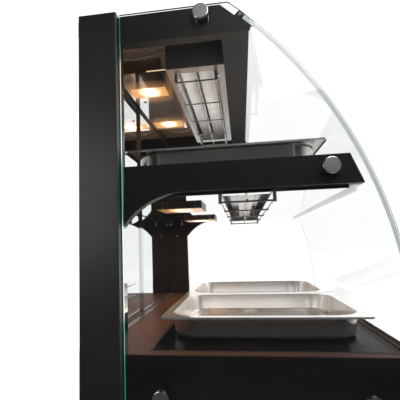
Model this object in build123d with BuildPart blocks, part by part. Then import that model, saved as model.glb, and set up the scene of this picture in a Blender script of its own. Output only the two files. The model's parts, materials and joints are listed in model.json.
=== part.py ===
"""Heated display case: a countertop case with a heated deck and a heated middle shelf.

Frame of the model: X runs along the case, Y from the customer's side (-Y) to the server's side (+Y),
Z up. The origin is on the table, under the middle of the case. Millimetres throughout.
"""
from build123d import *
import os
from math import asin, atan2, cos, degrees, hypot, radians, sin, sqrt

os.makedirs("parts", exist_ok=True)

# Overall arrangement
case_length = 820.0
body_depth = 500.0
knob_reach = 24.0
foot_height = 28.0
deck_top = 190.0
lower_bay = 247.0
shelf_thick = 45.0
upper_bay = 209.0
canopy_thick = 49.0

# Sheet metal and clearances
sheet = 1.5
fit_gap = 0.3
pin_clearance = 0.05
light_sheet = 1.0

# End frames, their covers and the glass at the ends
frame_thick = 20.0
column_width = 62.0
cover_depth = 18.0
cover_width = 65.0
cover_lap = 4.5
gusset_radius = 125.0
gusset_reach = 102.0
nose_lip = 8.0
arm_glass_gap = 16.0
canopy_glass_gap = 8.5
pane_thick = 6.0
pane_standoff = 2.0
pane_gap = 3.0
pane_drop = 110.0
pane_corner = 10.0

# Curved front glass and its hinges
glass_radius = 700.0
glass_thick = 6.0
glass_rise = 22.4
glass_setback = 3.9
glass_foot_gap = 3.0
hinge_drop = 20.2
hub_radius = 6.0
hub_width = 11.2
ear_thick = 3.8
ear_radius = 5.8
hinge_pin_radius = 2.5
jaw_thick = 2.0
jaw_length = 26.0
jaw_edge_gap = 2.0
jaw_play = 0.6
clamp_cap_radius = 5.0
clamp_cap_height = 2.0

# Round fixings of the end glass
fixing_radius = 13.0
fixing_height = 10.0
fixing_edge = 1.2
fixing_shank = 4.0
fixing_hole = 4.6
fixing_tail = 14.0
canopy_fixing_y = 26.0
canopy_fixing_drop = 15.5
arm_fixing_y = -157.0
arm_fixing_drop = 19.5
base_fixing_drop = 60.5
base_fixing_rear_y = 106.0
base_fixing_front_y = -190.0

# Sliding doors at the back
door_thick = 4.0
door_wall = 0.8
door_play = 0.4
door_overlap = 20.0
door_end_gap = 0.5
top_track_height = 28.0
top_track_hold = 14.0
bottom_track_height = 4.0
track_flange_depth = 13.0
track_flange_height = 1.0
door_stop_gap = 0.5
pull_length = 110.0
pull_width = 26.0
pull_flange = 1.0
pull_rim = 5.0
pull_wall = 1.0
pull_corner = 5.0
pull_edge = 12.0
pull_z = 470.0

# Canopy: roof, lamp panel and heater
lamp_panel_drop = 29.5
lamp_panel_depth = 95.0
lamp_panel_length = 405.0
lamp_panel_offset = -32.5
lamp_panel_rear_gap = 5.0
canopy_lamp_pitch = 252.0
canopy_lamp_length = 56.0
canopy_lamp_depth = 82.0
lamp_window_thick = 3.0
lamp_window_rim = 5.0
heater_end_gap = 91.0
heater_depth = 112.0
heater_border = 14.0
heater_end_border = 22.0
heater_top_gap = 6.0
reflector_taper = 14.0
upper_guard_inset_x = 3.0
upper_guard_inset_y = 1.0
upper_guard_drop = 18.0
guard_wire = 1.6
guard_spans = 4
guard_post = 3.2
guard_foot = 2.4

# Ceramic heater plates
element_depth = 30.0
element_thick = 7.0
element_groove = 3.0
element_groove_pitch = 12.0
element_gap = 6.0
element_end_gap = 8.0
element_lift = 12.0
shelf_element_lift = 6.0
post_share = 0.25

# Middle shelf: its heater, lamps and front rail
shelf_rear_gap = 4.0
lower_trough_end_gap = 22.0
lower_trough_depth = 78.0
lower_trough_height = 26.0
lower_trough_centre_y = -34.0
lower_guard_overhang_x = 7.0
lower_guard_overhang_y = 6.0
underside_drop = 5.0
lower_guard_drop = 11.5
shelf_lamp_pitch = 380.0
shelf_lamp_length = 98.0
shelf_lamp_depth = 90.0
shelf_lamp_height = 15.0
shelf_lamp_recess = 7.5
shelf_lamp_y = 96.5
front_rail_depth = 19.0
front_rail_height = 34.0
front_rail_lip = 7.0

# Halogen lamps
bulb_radius = 5.0
bulb_length = 30.0
socket_side = 14.0
socket_length = 12.0

# Deck, hot plate and base
hot_plate_end_gap = 23.0
hot_plate_front_y = -236.0
hot_plate_rear_y = 128.0
hot_plate_thick = 4.0
hot_plate_play = 0.5
hot_plate_ledge = 12.0
deck_heater_thick = 6.0
insulation_thick = 25.0
sill_depth = 13.0
sill_lip = 9.0
sill_wall = 2.0
foot_radius = 19.0
foot_inset_x = 60.0
foot_inset_y = 55.0
foot_taper = 3.0
foot_screw_radius = 4.0
foot_screw_length = 9.0

# Control panel
panel_length = 420.0
panel_height = 96.0
panel_lap = 8.0
panel_x = 60.0
knob_radius = 21.0
knob_skirt = 5.0
knob_grip_radius = 15.0
knob_pointer = 5.0
knob_edge = 1.0
knob_pitch = 72.0
knob_count = 3
first_knob_x = -60.0
shaft_radius = 3.0
thermostat_side = 42.0
thermostat_depth = 30.0
bushing_radius = 5.0
switch_width = 22.0
switch_height = 30.0
switch_depth = 24.0
switch_rim = 2.0
pocket_wall = 1.2
switch_pitch = 36.0
switch_count = 2
first_switch_x = 180.0
rocker_tilt = 7.0
rocker_pin = 1.5
rocker_axis_depth = 3.0
rocker_pocket_depth = 10.0
rocker_root = 5.0
rocker_root_half = 8.0
rocker_rise = 4.0
rocker_waist = 2.6
rocker_tip_gap = 0.6
indicator_radius = 5.0
indicator_height = 3.0
indicator_rise = 32.0
inlet_width = 48.0
inlet_height = 28.0
inlet_depth = 26.0
inlet_end_gap = 92.0
terminal_length = 70.0
terminal_width = 22.0
terminal_height = 24.0
terminal_gap = 10.0
terminal_from_inlet = 70.0
terminal_ways = 5
blade_pitch = 9.0
blade_width = 2.0
blade_height = 6.0
vent_count = 8
vent_from_inlet = 44.0
vent_pitch = 12.0
vent_width = 5.0
vent_height = 50.0

# Gastronorm pans, two thirds size
pan_depth_y = 354.0
pan_length_x = 325.0
deck_pan_height = 40.0
shelf_pan_height = 44.0
pan_flange = 14.0
pan_wall = 1.0
pan_rim_drop = 3.5
pan_corner = 52.0
pan_rim_corner = 9.0
pan_taper = 5.0
pan_floor_radius = 8.0
deck_pan_share = 0.68
deck_pan_front_y = -229.0
shelf_pan_share = 0.582
shelf_pan_front_y = -173.0
pan_spacing = 3.0

# Small screws
screw_radius = 4.0
screw_height = 2.0
column_screw_y = 36.0
column_screw_z = 2.0
rear_screw_y = 55.0
rear_screw_drop = 10.0
front_screw_y = 17.0
front_screw_drop = 9.5
panel_screw_x = 69.0
panel_screw_y = 25.0

# Places worked out from the sizes above
front_y = -(body_depth + knob_reach) / 2
back_y = front_y + body_depth
track_depth = 3 * door_wall + 2 * (door_thick + 2 * door_play)
column_back = back_y - track_depth
column_front = column_back - column_width
cover_back = column_back + cover_lap
cover_front = cover_back - cover_width
cover_out = case_length / 2
frame_out = cover_out - cover_depth
frame_in = frame_out - frame_thick
pane_in = frame_out + pane_standoff
pane_out = pane_in + pane_thick
pane_rear = cover_front - pane_gap
pane_bottom = deck_top - pane_drop
inlet_x = inlet_end_gap - frame_out
shelf_bottom = deck_top + lower_bay
shelf_top = shelf_bottom + shelf_thick
underside_z = shelf_bottom - underside_drop
canopy_bottom = shelf_top + upper_bay
canopy_top = canopy_bottom + canopy_thick
roof_bottom = canopy_top - sheet
deck_bottom = deck_top - sheet
floor_top = foot_height + sheet
arc_y = front_y + glass_setback + glass_radius
arc_z = deck_top + glass_rise


def front_at(z, radius):
    """How far forward a cylinder about the glass's centre line reaches at height z."""
    return arc_y - sqrt(radius ** 2 - (z - arc_z) ** 2)


def on_arc(radius, angle):
    """The point (y, z) of the glass's circle at an angle above the horizontal, in degrees."""
    return (arc_y - radius * cos(radians(angle)), arc_z + radius * sin(radians(angle)))


def block(x, y, z, mode=Mode.ADD):
    """A box between the two values of each range."""
    with Locations(((x[0] + x[1]) / 2, (y[0] + y[1]) / 2, (z[0] + z[1]) / 2)):
        Box(x[1] - x[0], y[1] - y[0], z[1] - z[0], mode=mode)


def rod(start, end, radius, mode=Mode.ADD):
    """A round bar between two points along X, Y or Z."""
    length = hypot(hypot(end[0] - start[0], end[1] - start[1]), end[2] - start[2])
    direction = [(e - s) / length for s, e in zip(start, end)]
    middle = tuple((s + e) / 2 for s, e in zip(start, end))
    turn = (0, 0, 0)
    if direction[0]:
        turn = (0, 90, 0)
    if direction[1]:
        turn = (90, 0, 0)
    with Locations(middle):
        Cylinder(radius, length, rotation=turn, mode=mode)


def ends(side, inner, outer):
    """The X range of something at one end of the case, side being -1 or +1."""
    return tuple(sorted((side * inner, side * outer)))


def save(piece, name):
    """Name a finished piece and write it."""
    piece.part.label = name
    export_step(piece.part, f"parts/{name}.step")


sides = (("left", -1), ("right", 1))
channel = door_thick + 2 * door_play
channel_starts = [column_back + door_wall + i * (channel + door_wall) for i in (1, 0)]
stop_low = deck_top + bottom_track_height + fit_gap
stop_high = canopy_top - top_track_height - fit_gap
nose_top_y = front_at(canopy_top, glass_radius - canopy_glass_gap)
nose_low_z = canopy_bottom + nose_lip
nose_low_y = front_at(nose_low_z, glass_radius - canopy_glass_gap)
arm_nose_top_y = front_at(shelf_top, glass_radius - arm_glass_gap)
arm_nose_low_y = front_at(shelf_bottom, glass_radius - arm_glass_gap)
gusset_start_y = column_front - gusset_reach
gusset_end_z = shelf_bottom - gusset_radius + sqrt(gusset_radius ** 2 - gusset_reach ** 2)
gusset_turn = asin(gusset_reach / gusset_radius) / 2
gusset_middle = (
    gusset_start_y + gusset_radius * sin(gusset_turn),
    shelf_bottom - gusset_radius + gusset_radius * cos(gusset_turn),
)
fixing_points = [
    (canopy_fixing_y, canopy_top - canopy_fixing_drop),
    (arm_fixing_y, shelf_top - arm_fixing_drop),
    (base_fixing_rear_y, deck_top - base_fixing_drop),
    (base_fixing_front_y, deck_top - base_fixing_drop),
]

# End frames: column, shelf arm with its gusset and canopy arm in one profile, and a stop for its door
for (label, side), channel_start in zip(sides, channel_starts):
    x_range = ends(side, frame_in, frame_out)
    stop_back = channel_start + door_play - door_stop_gap
    with BuildPart() as end_frame:
        with BuildSketch(Plane.YZ.offset(x_range[0])):
            with BuildLine():
                Polyline(
                    (column_front, gusset_end_z),
                    (column_front, floor_top),
                    (column_back, floor_top),
                    (column_back, canopy_top),
                    (nose_top_y, canopy_top),
                    (nose_low_y, nose_low_z),
                    (nose_low_y, canopy_bottom),
                    (column_front, canopy_bottom),
                    (column_front, shelf_top),
                    (arm_nose_top_y, shelf_top),
                    (arm_nose_low_y, shelf_bottom),
                    (gusset_start_y, shelf_bottom),
                )
                ThreePointArc(
                    (gusset_start_y, shelf_bottom), gusset_middle, (column_front, gusset_end_z)
                )
            make_face()
        extrude(amount=frame_thick)
        block(x_range, (column_back, stop_back), (stop_low, stop_high))
        for y, z in fixing_points[:2]:
            rod(
                (side * (frame_out - fixing_tail - fit_gap), y, z),
                (side * frame_out, y, z),
                fixing_shank + fit_gap,
                Mode.SUBTRACT,
            )
    save(end_frame, f"end_frame_{label}")

# Column covers: folded channels over the columns
for label, side in sides:
    with BuildPart() as column_cover:
        block(ends(side, frame_out, cover_out), (cover_front, cover_back), (foot_height, canopy_top))
        block(
            ends(side, frame_out, cover_out - sheet),
            (cover_front + sheet, cover_back - sheet),
            (foot_height + sheet, canopy_top - sheet),
            Mode.SUBTRACT,
        )
        outer_corners = column_cover.edges().filter_by(Axis.Z).group_by(Axis.X)[-1 if side > 0 else 0]
        fillet(outer_corners, sheet)
    save(column_cover, f"column_cover_{label}")

# Flat glass at each end
pane_top_angle = degrees(asin((canopy_top - arc_z) / glass_radius))
for label, side in sides:
    x_range = ends(side, pane_in, pane_out)
    with BuildPart() as side_glass:
        with BuildSketch(Plane.YZ.offset(x_range[0])):
            with BuildLine():
                Polyline(
                    on_arc(glass_radius, pane_top_angle),
                    (pane_rear, canopy_top),
                    (pane_rear, pane_bottom),
                    (arc_y - glass_radius, pane_bottom),
                    on_arc(glass_radius, 0),
                )
                ThreePointArc(
                    on_arc(glass_radius, 0),
                    on_arc(glass_radius, pane_top_angle / 2),
                    on_arc(glass_radius, pane_top_angle),
                )
            make_face()
            fillet(vertices().group_by(Axis.Y)[-1].sort_by(Axis.X)[0], pane_corner)
        extrude(amount=pane_thick)
        for y, z in fixing_points:
            rod((x_range[0], y, z), (x_range[1], y, z), fixing_hole, Mode.SUBTRACT)
    save(side_glass, f"side_glass_{label}")

# Round fixings: head, shank through the glass and its end in the frame or base
with BuildPart() as glass_fixings:
    for label, side in sides:
        for y, z in fixing_points:
            rod(
                (side * (frame_out - fixing_tail), y, z),
                (side * pane_out, y, z),
                fixing_shank,
            )
            rod((side * pane_out, y, z), (side * (pane_out + fixing_height), y, z), fixing_radius)
    heads = glass_fixings.faces().filter_by(Axis.X).group_by(Axis.X)
    fillet(heads[0].edges() + heads[-1].edges(), fixing_edge)
save(glass_fixings, "glass_fixings")

# Washers that hold the end glass off the frame
with BuildPart() as glass_washers:
    for label, side in sides:
        for y, z in fixing_points:
            rod((side * frame_out, y, z), (side * pane_in, y, z), fixing_radius - fixing_edge)
            rod((side * frame_out, y, z), (side * pane_in, y, z), fixing_hole, Mode.SUBTRACT)
save(glass_washers, "glass_washers")

# Curved front glass, hung from two hinges at its top edge
glass_middle = glass_radius - glass_thick / 2
glass_inner = glass_radius - glass_thick
hinge_angle = degrees(asin((canopy_top - hinge_drop - arc_z) / glass_middle))
hinge_y, hinge_z = on_arc(glass_middle, hinge_angle)
glass_edge = hub_radius + jaw_edge_gap
glass_top_angle = hinge_angle - degrees(glass_edge / glass_middle)
glass_foot = deck_top + glass_foot_gap
glass_half = frame_out
with BuildPart() as front_glass:
    with BuildSketch(Plane.YZ.offset(-glass_half)):
        with BuildLine():
            ThreePointArc(
                on_arc(glass_radius, 0),
                on_arc(glass_radius, glass_top_angle / 2),
                on_arc(glass_radius, glass_top_angle),
            )
            Line(on_arc(glass_radius, glass_top_angle), on_arc(glass_inner, glass_top_angle))
            ThreePointArc(
                on_arc(glass_inner, glass_top_angle),
                on_arc(glass_inner, glass_top_angle / 2),
                on_arc(glass_inner, 0),
            )
            Polyline(
                on_arc(glass_inner, 0),
                (arc_y - glass_inner, glass_foot),
                (arc_y - glass_radius, glass_foot),
                on_arc(glass_radius, 0),
            )
        make_face()
    extrude(amount=2 * glass_half)
save(front_glass, "front_glass")

# Clamps that grip the top edge of the front glass and turn on the hinge pins
hinge_middle = frame_in + frame_thick / 2
along = (0, -sin(radians(hinge_angle)), -cos(radians(hinge_angle)))
jaw_inner = glass_thick / 2 + jaw_play
jaw_outer = jaw_inner + jaw_thick
with BuildPart() as hinge_clamps:
    for label, side in sides:
        start_x = side * hinge_middle - hub_width / 2
        clamp_plane = Plane(origin=(start_x, hinge_y, hinge_z), x_dir=along, z_dir=(1, 0, 0))
        with BuildSketch(clamp_plane):
            Circle(hub_radius)
            with Locations((jaw_length / 2, 0)):
                Rectangle(jaw_length, 2 * jaw_outer)
            with Locations((glass_edge - jaw_edge_gap / 2 + jaw_length / 2, 0)):
                Rectangle(jaw_length, 2 * jaw_inner, mode=Mode.SUBTRACT)
            Circle(hinge_pin_radius + pin_clearance, mode=Mode.SUBTRACT)
        extrude(amount=hub_width)
        cap_plane = Plane(
            origin=(side * hinge_middle, hinge_y, hinge_z),
            x_dir=(1, 0, 0),
            z_dir=(0, -cos(radians(hinge_angle)), sin(radians(hinge_angle))),
        )
        with BuildSketch(cap_plane.offset(jaw_outer)):
            with Locations((0, -(glass_edge + jaw_length) / 2)):
                Circle(clamp_cap_radius)
        extrude(amount=clamp_cap_height)
save(hinge_clamps, "hinge_clamps")

# Hinge ears that stand on the sloping nose of each canopy arm
slope = atan2(nose_low_z - canopy_top, nose_low_y - nose_top_y)
slope_dir = (0, cos(slope), sin(slope))
reach_y = hinge_y - nose_top_y
reach_z = hinge_z - canopy_top
hinge_along = reach_y * cos(slope) + reach_z * sin(slope)
hinge_height = abs(reach_y * sin(slope) - reach_z * cos(slope))
with BuildPart() as hinge_ears:
    for label, side in sides:
        for end in (-1, 1):
            gap_x = hub_width / 2 + fit_gap
            ear_x = side * hinge_middle + end * gap_x - (ear_thick if end < 0 else 0)
            ear_plane = Plane(
                origin=(ear_x, nose_top_y, canopy_top), x_dir=slope_dir, z_dir=(1, 0, 0)
            )
            with BuildSketch(ear_plane):
                with Locations((hinge_along, -hinge_height)):
                    Circle(ear_radius)
                with Locations((hinge_along, -hinge_height / 2)):
                    Rectangle(2 * ear_radius, hinge_height)
                with Locations((hinge_along, -hinge_height)):
                    Circle(hinge_pin_radius + pin_clearance, mode=Mode.SUBTRACT)
            extrude(amount=ear_thick)
save(hinge_ears, "hinge_ears")

pin_half = hub_width / 2 + fit_gap + ear_thick
with BuildPart() as hinge_pins:
    for label, side in sides:
        rod(
            (side * hinge_middle - pin_half, hinge_y, hinge_z),
            (side * hinge_middle + pin_half, hinge_y, hinge_z),
            hinge_pin_radius,
        )
save(hinge_pins, "hinge_pins")

# Roof of the canopy and the hollow beam under the top of the front glass
with BuildPart() as canopy_roof:
    block((-frame_in, frame_in), (nose_top_y, column_back), (roof_bottom, canopy_top))
save(canopy_roof, "canopy_roof")

with BuildPart() as canopy_beam:
    with BuildSketch(Plane.YZ.offset(-frame_in)):
        with BuildLine():
            Polyline(
                (nose_top_y, canopy_top),
                (nose_low_y, nose_low_z),
                (nose_low_y, canopy_bottom),
                (nose_top_y, canopy_bottom),
                close=True,
            )
        make_face()
        offset(amount=-sheet, kind=Kind.INTERSECTION, mode=Mode.SUBTRACT)
    extrude(amount=2 * frame_in)
save(canopy_beam, "canopy_beam")

# Door tracks: two channels side by side, open downwards at the top and upwards at the bottom,
# the left door running in the outer one
with BuildPart() as top_track:
    block((-frame_out, frame_out), (column_back, back_y), (canopy_top - top_track_height, canopy_top))
    for start in channel_starts:
        block(
            (-frame_out + door_wall, frame_out - door_wall),
            (start, start + channel),
            (canopy_top - top_track_height, canopy_top - sheet),
            Mode.SUBTRACT,
        )
save(top_track, "top_door_track")

with BuildPart() as bottom_track:
    block((-frame_out, frame_out), (column_back, back_y), (deck_top, deck_top + bottom_track_height))
    block(
        (-frame_in + fit_gap, frame_in - fit_gap),
        (column_back - track_flange_depth, column_back),
        (deck_top, deck_top + track_flange_height),
    )
    for start in channel_starts:
        block(
            (-frame_out + door_wall, frame_out - door_wall),
            (start, start + channel),
            (deck_top + sheet, deck_top + bottom_track_height),
            Mode.SUBTRACT,
        )
save(bottom_track, "bottom_door_track")

# Sliding doors with a mirrored face towards the food, and the finger cups let into them
def pull_plate(x, y, inset, depth, mode=Mode.ADD):
    """A rounded upright plate, the outline of a finger cup less an inset, from y outwards."""
    with BuildSketch(Plane.XZ.offset(-y)) as outline:
        with Locations((x, pull_z)):
            RectangleRounded(pull_width - 2 * inset, pull_length - 2 * inset, pull_corner)
    extrude(outline.sketch, amount=-depth, mode=mode)


door_foot = deck_top + sheet + fit_gap
door_head = canopy_top - top_track_height + top_track_hold
door_far = frame_out - door_wall - door_end_gap
for (label, side), start in zip(sides, channel_starts):
    pull_x = side * (door_far - pull_edge - pull_width / 2)
    mirror_y = start + door_play
    face_y = mirror_y + door_thick
    with BuildPart() as door:
        block(
            ends(side, -door_overlap / 2, door_far),
            (mirror_y, face_y),
            (door_foot, door_head),
        )
        fillet(door.edges().filter_by(Axis.X).group_by(Axis.Z)[-1], light_sheet)
        pull_plate(pull_x, mirror_y, pull_rim, door_thick, Mode.SUBTRACT)
    save(door, f"door_{label}")
    with BuildPart() as door_pull:
        pull_plate(pull_x, face_y, 0, pull_flange)
        pull_plate(pull_x, mirror_y, pull_rim + fit_gap, door_thick)
        pull_plate(
            pull_x,
            mirror_y + pull_wall,
            pull_rim + fit_gap + pull_wall,
            door_thick + pull_flange - pull_wall,
            Mode.SUBTRACT,
        )
    save(door_pull, f"door_pull_{label}")

# Lamp panel: the polished ceiling behind the heater, with a window for each lamp
panel_rear = column_back - lamp_panel_rear_gap
panel_front = panel_rear - lamp_panel_depth
panel_bottom = canopy_top - lamp_panel_drop
window_y = (panel_rear + panel_front) / 2
canopy_lamps = [side * canopy_lamp_pitch / 2 for label, side in sides]
panel_ends = (lamp_panel_offset - lamp_panel_length / 2, lamp_panel_offset + lamp_panel_length / 2)
with BuildPart() as lamp_panel:
    block(panel_ends, (panel_front, panel_rear), (panel_bottom, roof_bottom))
    block(
        panel_ends,
        (panel_front + light_sheet, panel_rear - light_sheet),
        (panel_bottom + light_sheet, roof_bottom),
        Mode.SUBTRACT,
    )
    for x in canopy_lamps:
        block(
            (x - canopy_lamp_length / 2, x + canopy_lamp_length / 2),
            (window_y - canopy_lamp_depth / 2, window_y + canopy_lamp_depth / 2),
            (panel_bottom, panel_bottom + light_sheet),
            Mode.SUBTRACT,
        )
save(lamp_panel, "lamp_panel")


def lamp_tray(x, y, z, length, depth, height):
    """A lamp housing open downwards, its rim at height z, centred on (x, y)."""
    block((x - length / 2, x + length / 2), (y - depth / 2, y + depth / 2), (z, z + height))
    block(
        (x - length / 2 + light_sheet, x + length / 2 - light_sheet),
        (y - depth / 2 + light_sheet, y + depth / 2 - light_sheet),
        (z, z + height - light_sheet),
        Mode.SUBTRACT,
    )


def bulb(x, y, z):
    """A halogen capsule lying along Y."""
    rod((x, y - bulb_length / 2, z), (x, y + bulb_length / 2, z), bulb_radius)


def socket(x, y, z, roof):
    """The ceramic holder at the end of a bulb, hung from the housing's roof."""
    start = y + bulb_length / 2 + fit_gap
    block(
        (x - socket_side / 2, x + socket_side / 2),
        (start, start + socket_length),
        (z - bulb_radius, roof),
    )


canopy_tray_z = panel_bottom + light_sheet + lamp_window_thick + fit_gap
canopy_tray_roof = roof_bottom - light_sheet
canopy_bulb_z = (canopy_tray_z + canopy_tray_roof) / 2
tray_length = canopy_lamp_length + 2 * lamp_window_rim
tray_depth = canopy_lamp_depth - lamp_window_rim
# Canopy heater: black housing, bright surround, reflector, ceramic plates and wire guard
housing_front = nose_top_y + fit_gap
housing_rear = housing_front + heater_depth
heater_y = (housing_front + housing_rear) / 2
heater_half = frame_in - heater_end_gap
with BuildPart() as canopy_heater_housing:
    block((-heater_half, heater_half), (housing_front, housing_rear), (canopy_bottom, roof_bottom))
    block(
        (-heater_half + sheet, heater_half - sheet),
        (housing_front + sheet, housing_rear - sheet),
        (canopy_bottom, roof_bottom - sheet),
        Mode.SUBTRACT,
    )
save(canopy_heater_housing, "canopy_heater_housing")

opening_half_x = heater_half - heater_end_border
opening_half_y = heater_depth / 2 - heater_border
with BuildPart() as canopy_heater_surround:
    block(
        (-heater_half, heater_half),
        (housing_front, housing_rear),
        (canopy_bottom - light_sheet, canopy_bottom),
    )
    block(
        (-opening_half_x, opening_half_x),
        (heater_y - opening_half_y, heater_y + opening_half_y),
        (canopy_bottom - light_sheet, canopy_bottom),
        Mode.SUBTRACT,
    )
save(canopy_heater_surround, "canopy_heater_surround")


def trough(y, z, half_x, half_y, height):
    """A reflector: a tapered tray, open downwards, its rim at height z."""
    with BuildSketch(Plane.XY.offset(z)) as rim:
        with Locations((0, y)):
            Rectangle(2 * half_x, 2 * half_y)
    extrude(rim.sketch, amount=height, taper=reflector_taper)
    with BuildSketch(Plane.XY.offset(z)) as hollow:
        with Locations((0, y)):
            Rectangle(2 * (half_x - light_sheet), 2 * (half_y - light_sheet))
    extrude(hollow.sketch, amount=height - light_sheet, taper=reflector_taper, mode=Mode.SUBTRACT)


def element_row(y, z, half_x, columns, rows, length):
    """Grooved ceramic heater plates in rows, their faces at height z."""
    pitch = element_depth + element_gap
    for i in range(columns):
        start = -half_x + i * (length + element_gap)
        for j in range(rows):
            centre_y = y + (j - (rows - 1) / 2) * pitch
            low_y, high_y = centre_y - element_depth / 2, centre_y + element_depth / 2
            block((start, start + length), (low_y, high_y), (z, z + element_thick))
            grooves = int(element_depth // element_groove_pitch)
            for k in range(grooves):
                groove_y = centre_y + (k - (grooves - 1) / 2) * element_groove_pitch
                block(
                    (start, start + length),
                    (groove_y - element_groove / 2, groove_y + element_groove / 2),
                    (z, z + element_groove / 2),
                    Mode.SUBTRACT,
                )


def element_posts(y, z, roof, half_x, columns, rows, length):
    """Two posts that hang each heater plate from the reflector."""
    pitch = element_depth + element_gap
    for i in range(columns):
        start = -half_x + i * (length + element_gap)
        for j in range(rows):
            centre_y = y + (j - (rows - 1) / 2) * pitch
            for share in (post_share, 1 - post_share):
                x = start + share * length
                rod((x, centre_y, z), (x, centre_y, roof), guard_wire)


def guard(y, z, half_x, half_y, top):
    """A wire guard: cross wires, three long wires and corner posts up to its mounting face."""
    upper = z + 2 * guard_wire
    for i in range(guard_spans + 1):
        x = -half_x + i * 2 * half_x / guard_spans
        rod((x, y - half_y, z), (x, y + half_y, z), guard_wire)
    for j in (-1, 0, 1):
        line_y = y + j * (half_y - guard_wire)
        rod((-half_x, line_y, upper - guard_wire / 2), (half_x, line_y, upper - guard_wire / 2), guard_wire)
    for x in (-half_x, half_x):
        for j in (-1, 1):
            line_y = y + j * (half_y - guard_wire)
            rod((x, line_y, z - guard_foot), (x, line_y, top), guard_post)


surround_bottom = canopy_bottom - light_sheet
trough_height = roof_bottom - sheet - canopy_bottom - heater_top_gap
with BuildPart() as canopy_reflector:
    trough(
        heater_y,
        canopy_bottom,
        opening_half_x + light_sheet,
        opening_half_y + light_sheet,
        trough_height,
    )
save(canopy_reflector, "canopy_reflector")

canopy_row_half = opening_half_x - trough_height * sin(radians(reflector_taper)) - element_end_gap
canopy_plate = canopy_row_half - element_gap / 2
canopy_plate_z = canopy_bottom + element_lift
canopy_trough_roof = canopy_bottom + trough_height - light_sheet
guard_z = canopy_bottom - upper_guard_drop
with BuildPart() as canopy_guard:
    guard(
        heater_y,
        guard_z,
        opening_half_x - upper_guard_inset_x,
        opening_half_y - upper_guard_inset_y,
        surround_bottom,
    )
save(canopy_guard, "canopy_heater_guard")

# Middle shelf: top pan, polished underside, heater and lamps beneath it, rail in front
shelf_rear = column_back - shelf_rear_gap
shelf_front = arm_nose_top_y
lower_half_x = frame_in - lower_trough_end_gap
lower_half_y = lower_trough_depth / 2
lower_y = lower_trough_centre_y
with BuildPart() as shelf_top_sheet:
    block((-frame_in, frame_in), (shelf_front, shelf_rear), (underside_z + light_sheet, shelf_top))
    block(
        (-frame_in, frame_in),
        (shelf_front + sheet, shelf_rear - sheet),
        (underside_z + light_sheet, shelf_top - sheet),
        Mode.SUBTRACT,
    )
save(shelf_top_sheet, "shelf_top")

shelf_lamps = [side * shelf_lamp_pitch / 2 for label, side in sides]
underside_holes = [(0, lower_y, lower_half_x, lower_half_y)]
underside_holes += [(x, shelf_lamp_y, shelf_lamp_length / 2, shelf_lamp_depth / 2) for x in shelf_lamps]
with BuildPart() as shelf_underside:
    block((-frame_in, frame_in), (shelf_front, shelf_rear), (underside_z, underside_z + light_sheet))
    for x, y, half_x, half_y in underside_holes:
        block(
            (x - half_x, x + half_x),
            (y - half_y, y + half_y),
            (underside_z, underside_z + light_sheet),
            Mode.SUBTRACT,
        )
save(shelf_underside, "shelf_underside")

lower_trough_z = underside_z + light_sheet
with BuildPart() as shelf_reflector:
    trough(
        lower_y,
        lower_trough_z,
        lower_half_x + light_sheet,
        lower_half_y + light_sheet,
        lower_trough_height,
    )
save(shelf_reflector, "shelf_reflector")

shelf_row_half = lower_half_x - lower_trough_height * sin(radians(reflector_taper)) - element_end_gap
shelf_plate = shelf_row_half - element_gap / 2
shelf_plate_z = lower_trough_z + shelf_element_lift
shelf_trough_roof = lower_trough_z + lower_trough_height - light_sheet
with BuildPart() as heater_plates:
    element_row(heater_y, canopy_plate_z, canopy_row_half, 2, 2, canopy_plate)
    element_row(lower_y, shelf_plate_z, shelf_row_half, 2, 1, shelf_plate)
save(heater_plates, "heater_plates")

with BuildPart() as heater_posts:
    element_posts(
        heater_y, canopy_plate_z + element_thick, canopy_trough_roof, canopy_row_half, 2, 2, canopy_plate
    )
    element_posts(
        lower_y, shelf_plate_z + element_thick, shelf_trough_roof, shelf_row_half, 2, 1, shelf_plate
    )
save(heater_posts, "heater_plate_posts")

lower_guard_z = underside_z - lower_guard_drop
with BuildPart() as shelf_guard:
    guard(
        lower_y,
        lower_guard_z,
        lower_half_x + lower_guard_overhang_x,
        lower_half_y + lower_guard_overhang_y,
        underside_z,
    )
save(shelf_guard, "shelf_heater_guard")

shelf_tray_z = underside_z + shelf_lamp_recess - shelf_lamp_height
with BuildPart() as lamp_trays:
    for x in canopy_lamps:
        lamp_tray(x, window_y, canopy_tray_z, tray_length, tray_depth, roof_bottom - canopy_tray_z)
    for x in shelf_lamps:
        lamp_tray(x, shelf_lamp_y, shelf_tray_z, shelf_lamp_length, shelf_lamp_depth, shelf_lamp_height)
save(lamp_trays, "lamp_trays")

shelf_window_half_x = shelf_lamp_length / 2 - light_sheet - fit_gap
shelf_window_half_y = shelf_lamp_depth / 2 - light_sheet - fit_gap
with BuildPart() as lamp_windows:
    for x in canopy_lamps:
        block(
            (x - tray_length / 2, x + tray_length / 2),
            (panel_front + light_sheet + fit_gap, panel_rear - light_sheet - fit_gap),
            (panel_bottom + light_sheet, panel_bottom + light_sheet + lamp_window_thick),
        )
    for x in shelf_lamps:
        block(
            (x - shelf_window_half_x, x + shelf_window_half_x),
            (shelf_lamp_y - shelf_window_half_y, shelf_lamp_y + shelf_window_half_y),
            (shelf_tray_z, shelf_tray_z + light_sheet),
        )
save(lamp_windows, "lamp_windows")

shelf_bulb_roof = shelf_tray_z + shelf_lamp_height - light_sheet
shelf_bulb_z = (shelf_tray_z + light_sheet + shelf_bulb_roof) / 2
bulb_places = [(x, window_y, canopy_bulb_z, canopy_tray_roof) for x in canopy_lamps]
bulb_places += [(x, shelf_lamp_y, shelf_bulb_z, shelf_bulb_roof) for x in shelf_lamps]
with BuildPart() as bulbs:
    for x, y, z, roof in bulb_places:
        bulb(x, y, z)
save(bulbs, "halogen_bulbs")

with BuildPart() as sockets:
    for x, y, z, roof in bulb_places:
        socket(x, y, z, roof)
save(sockets, "lamp_sockets")

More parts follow.
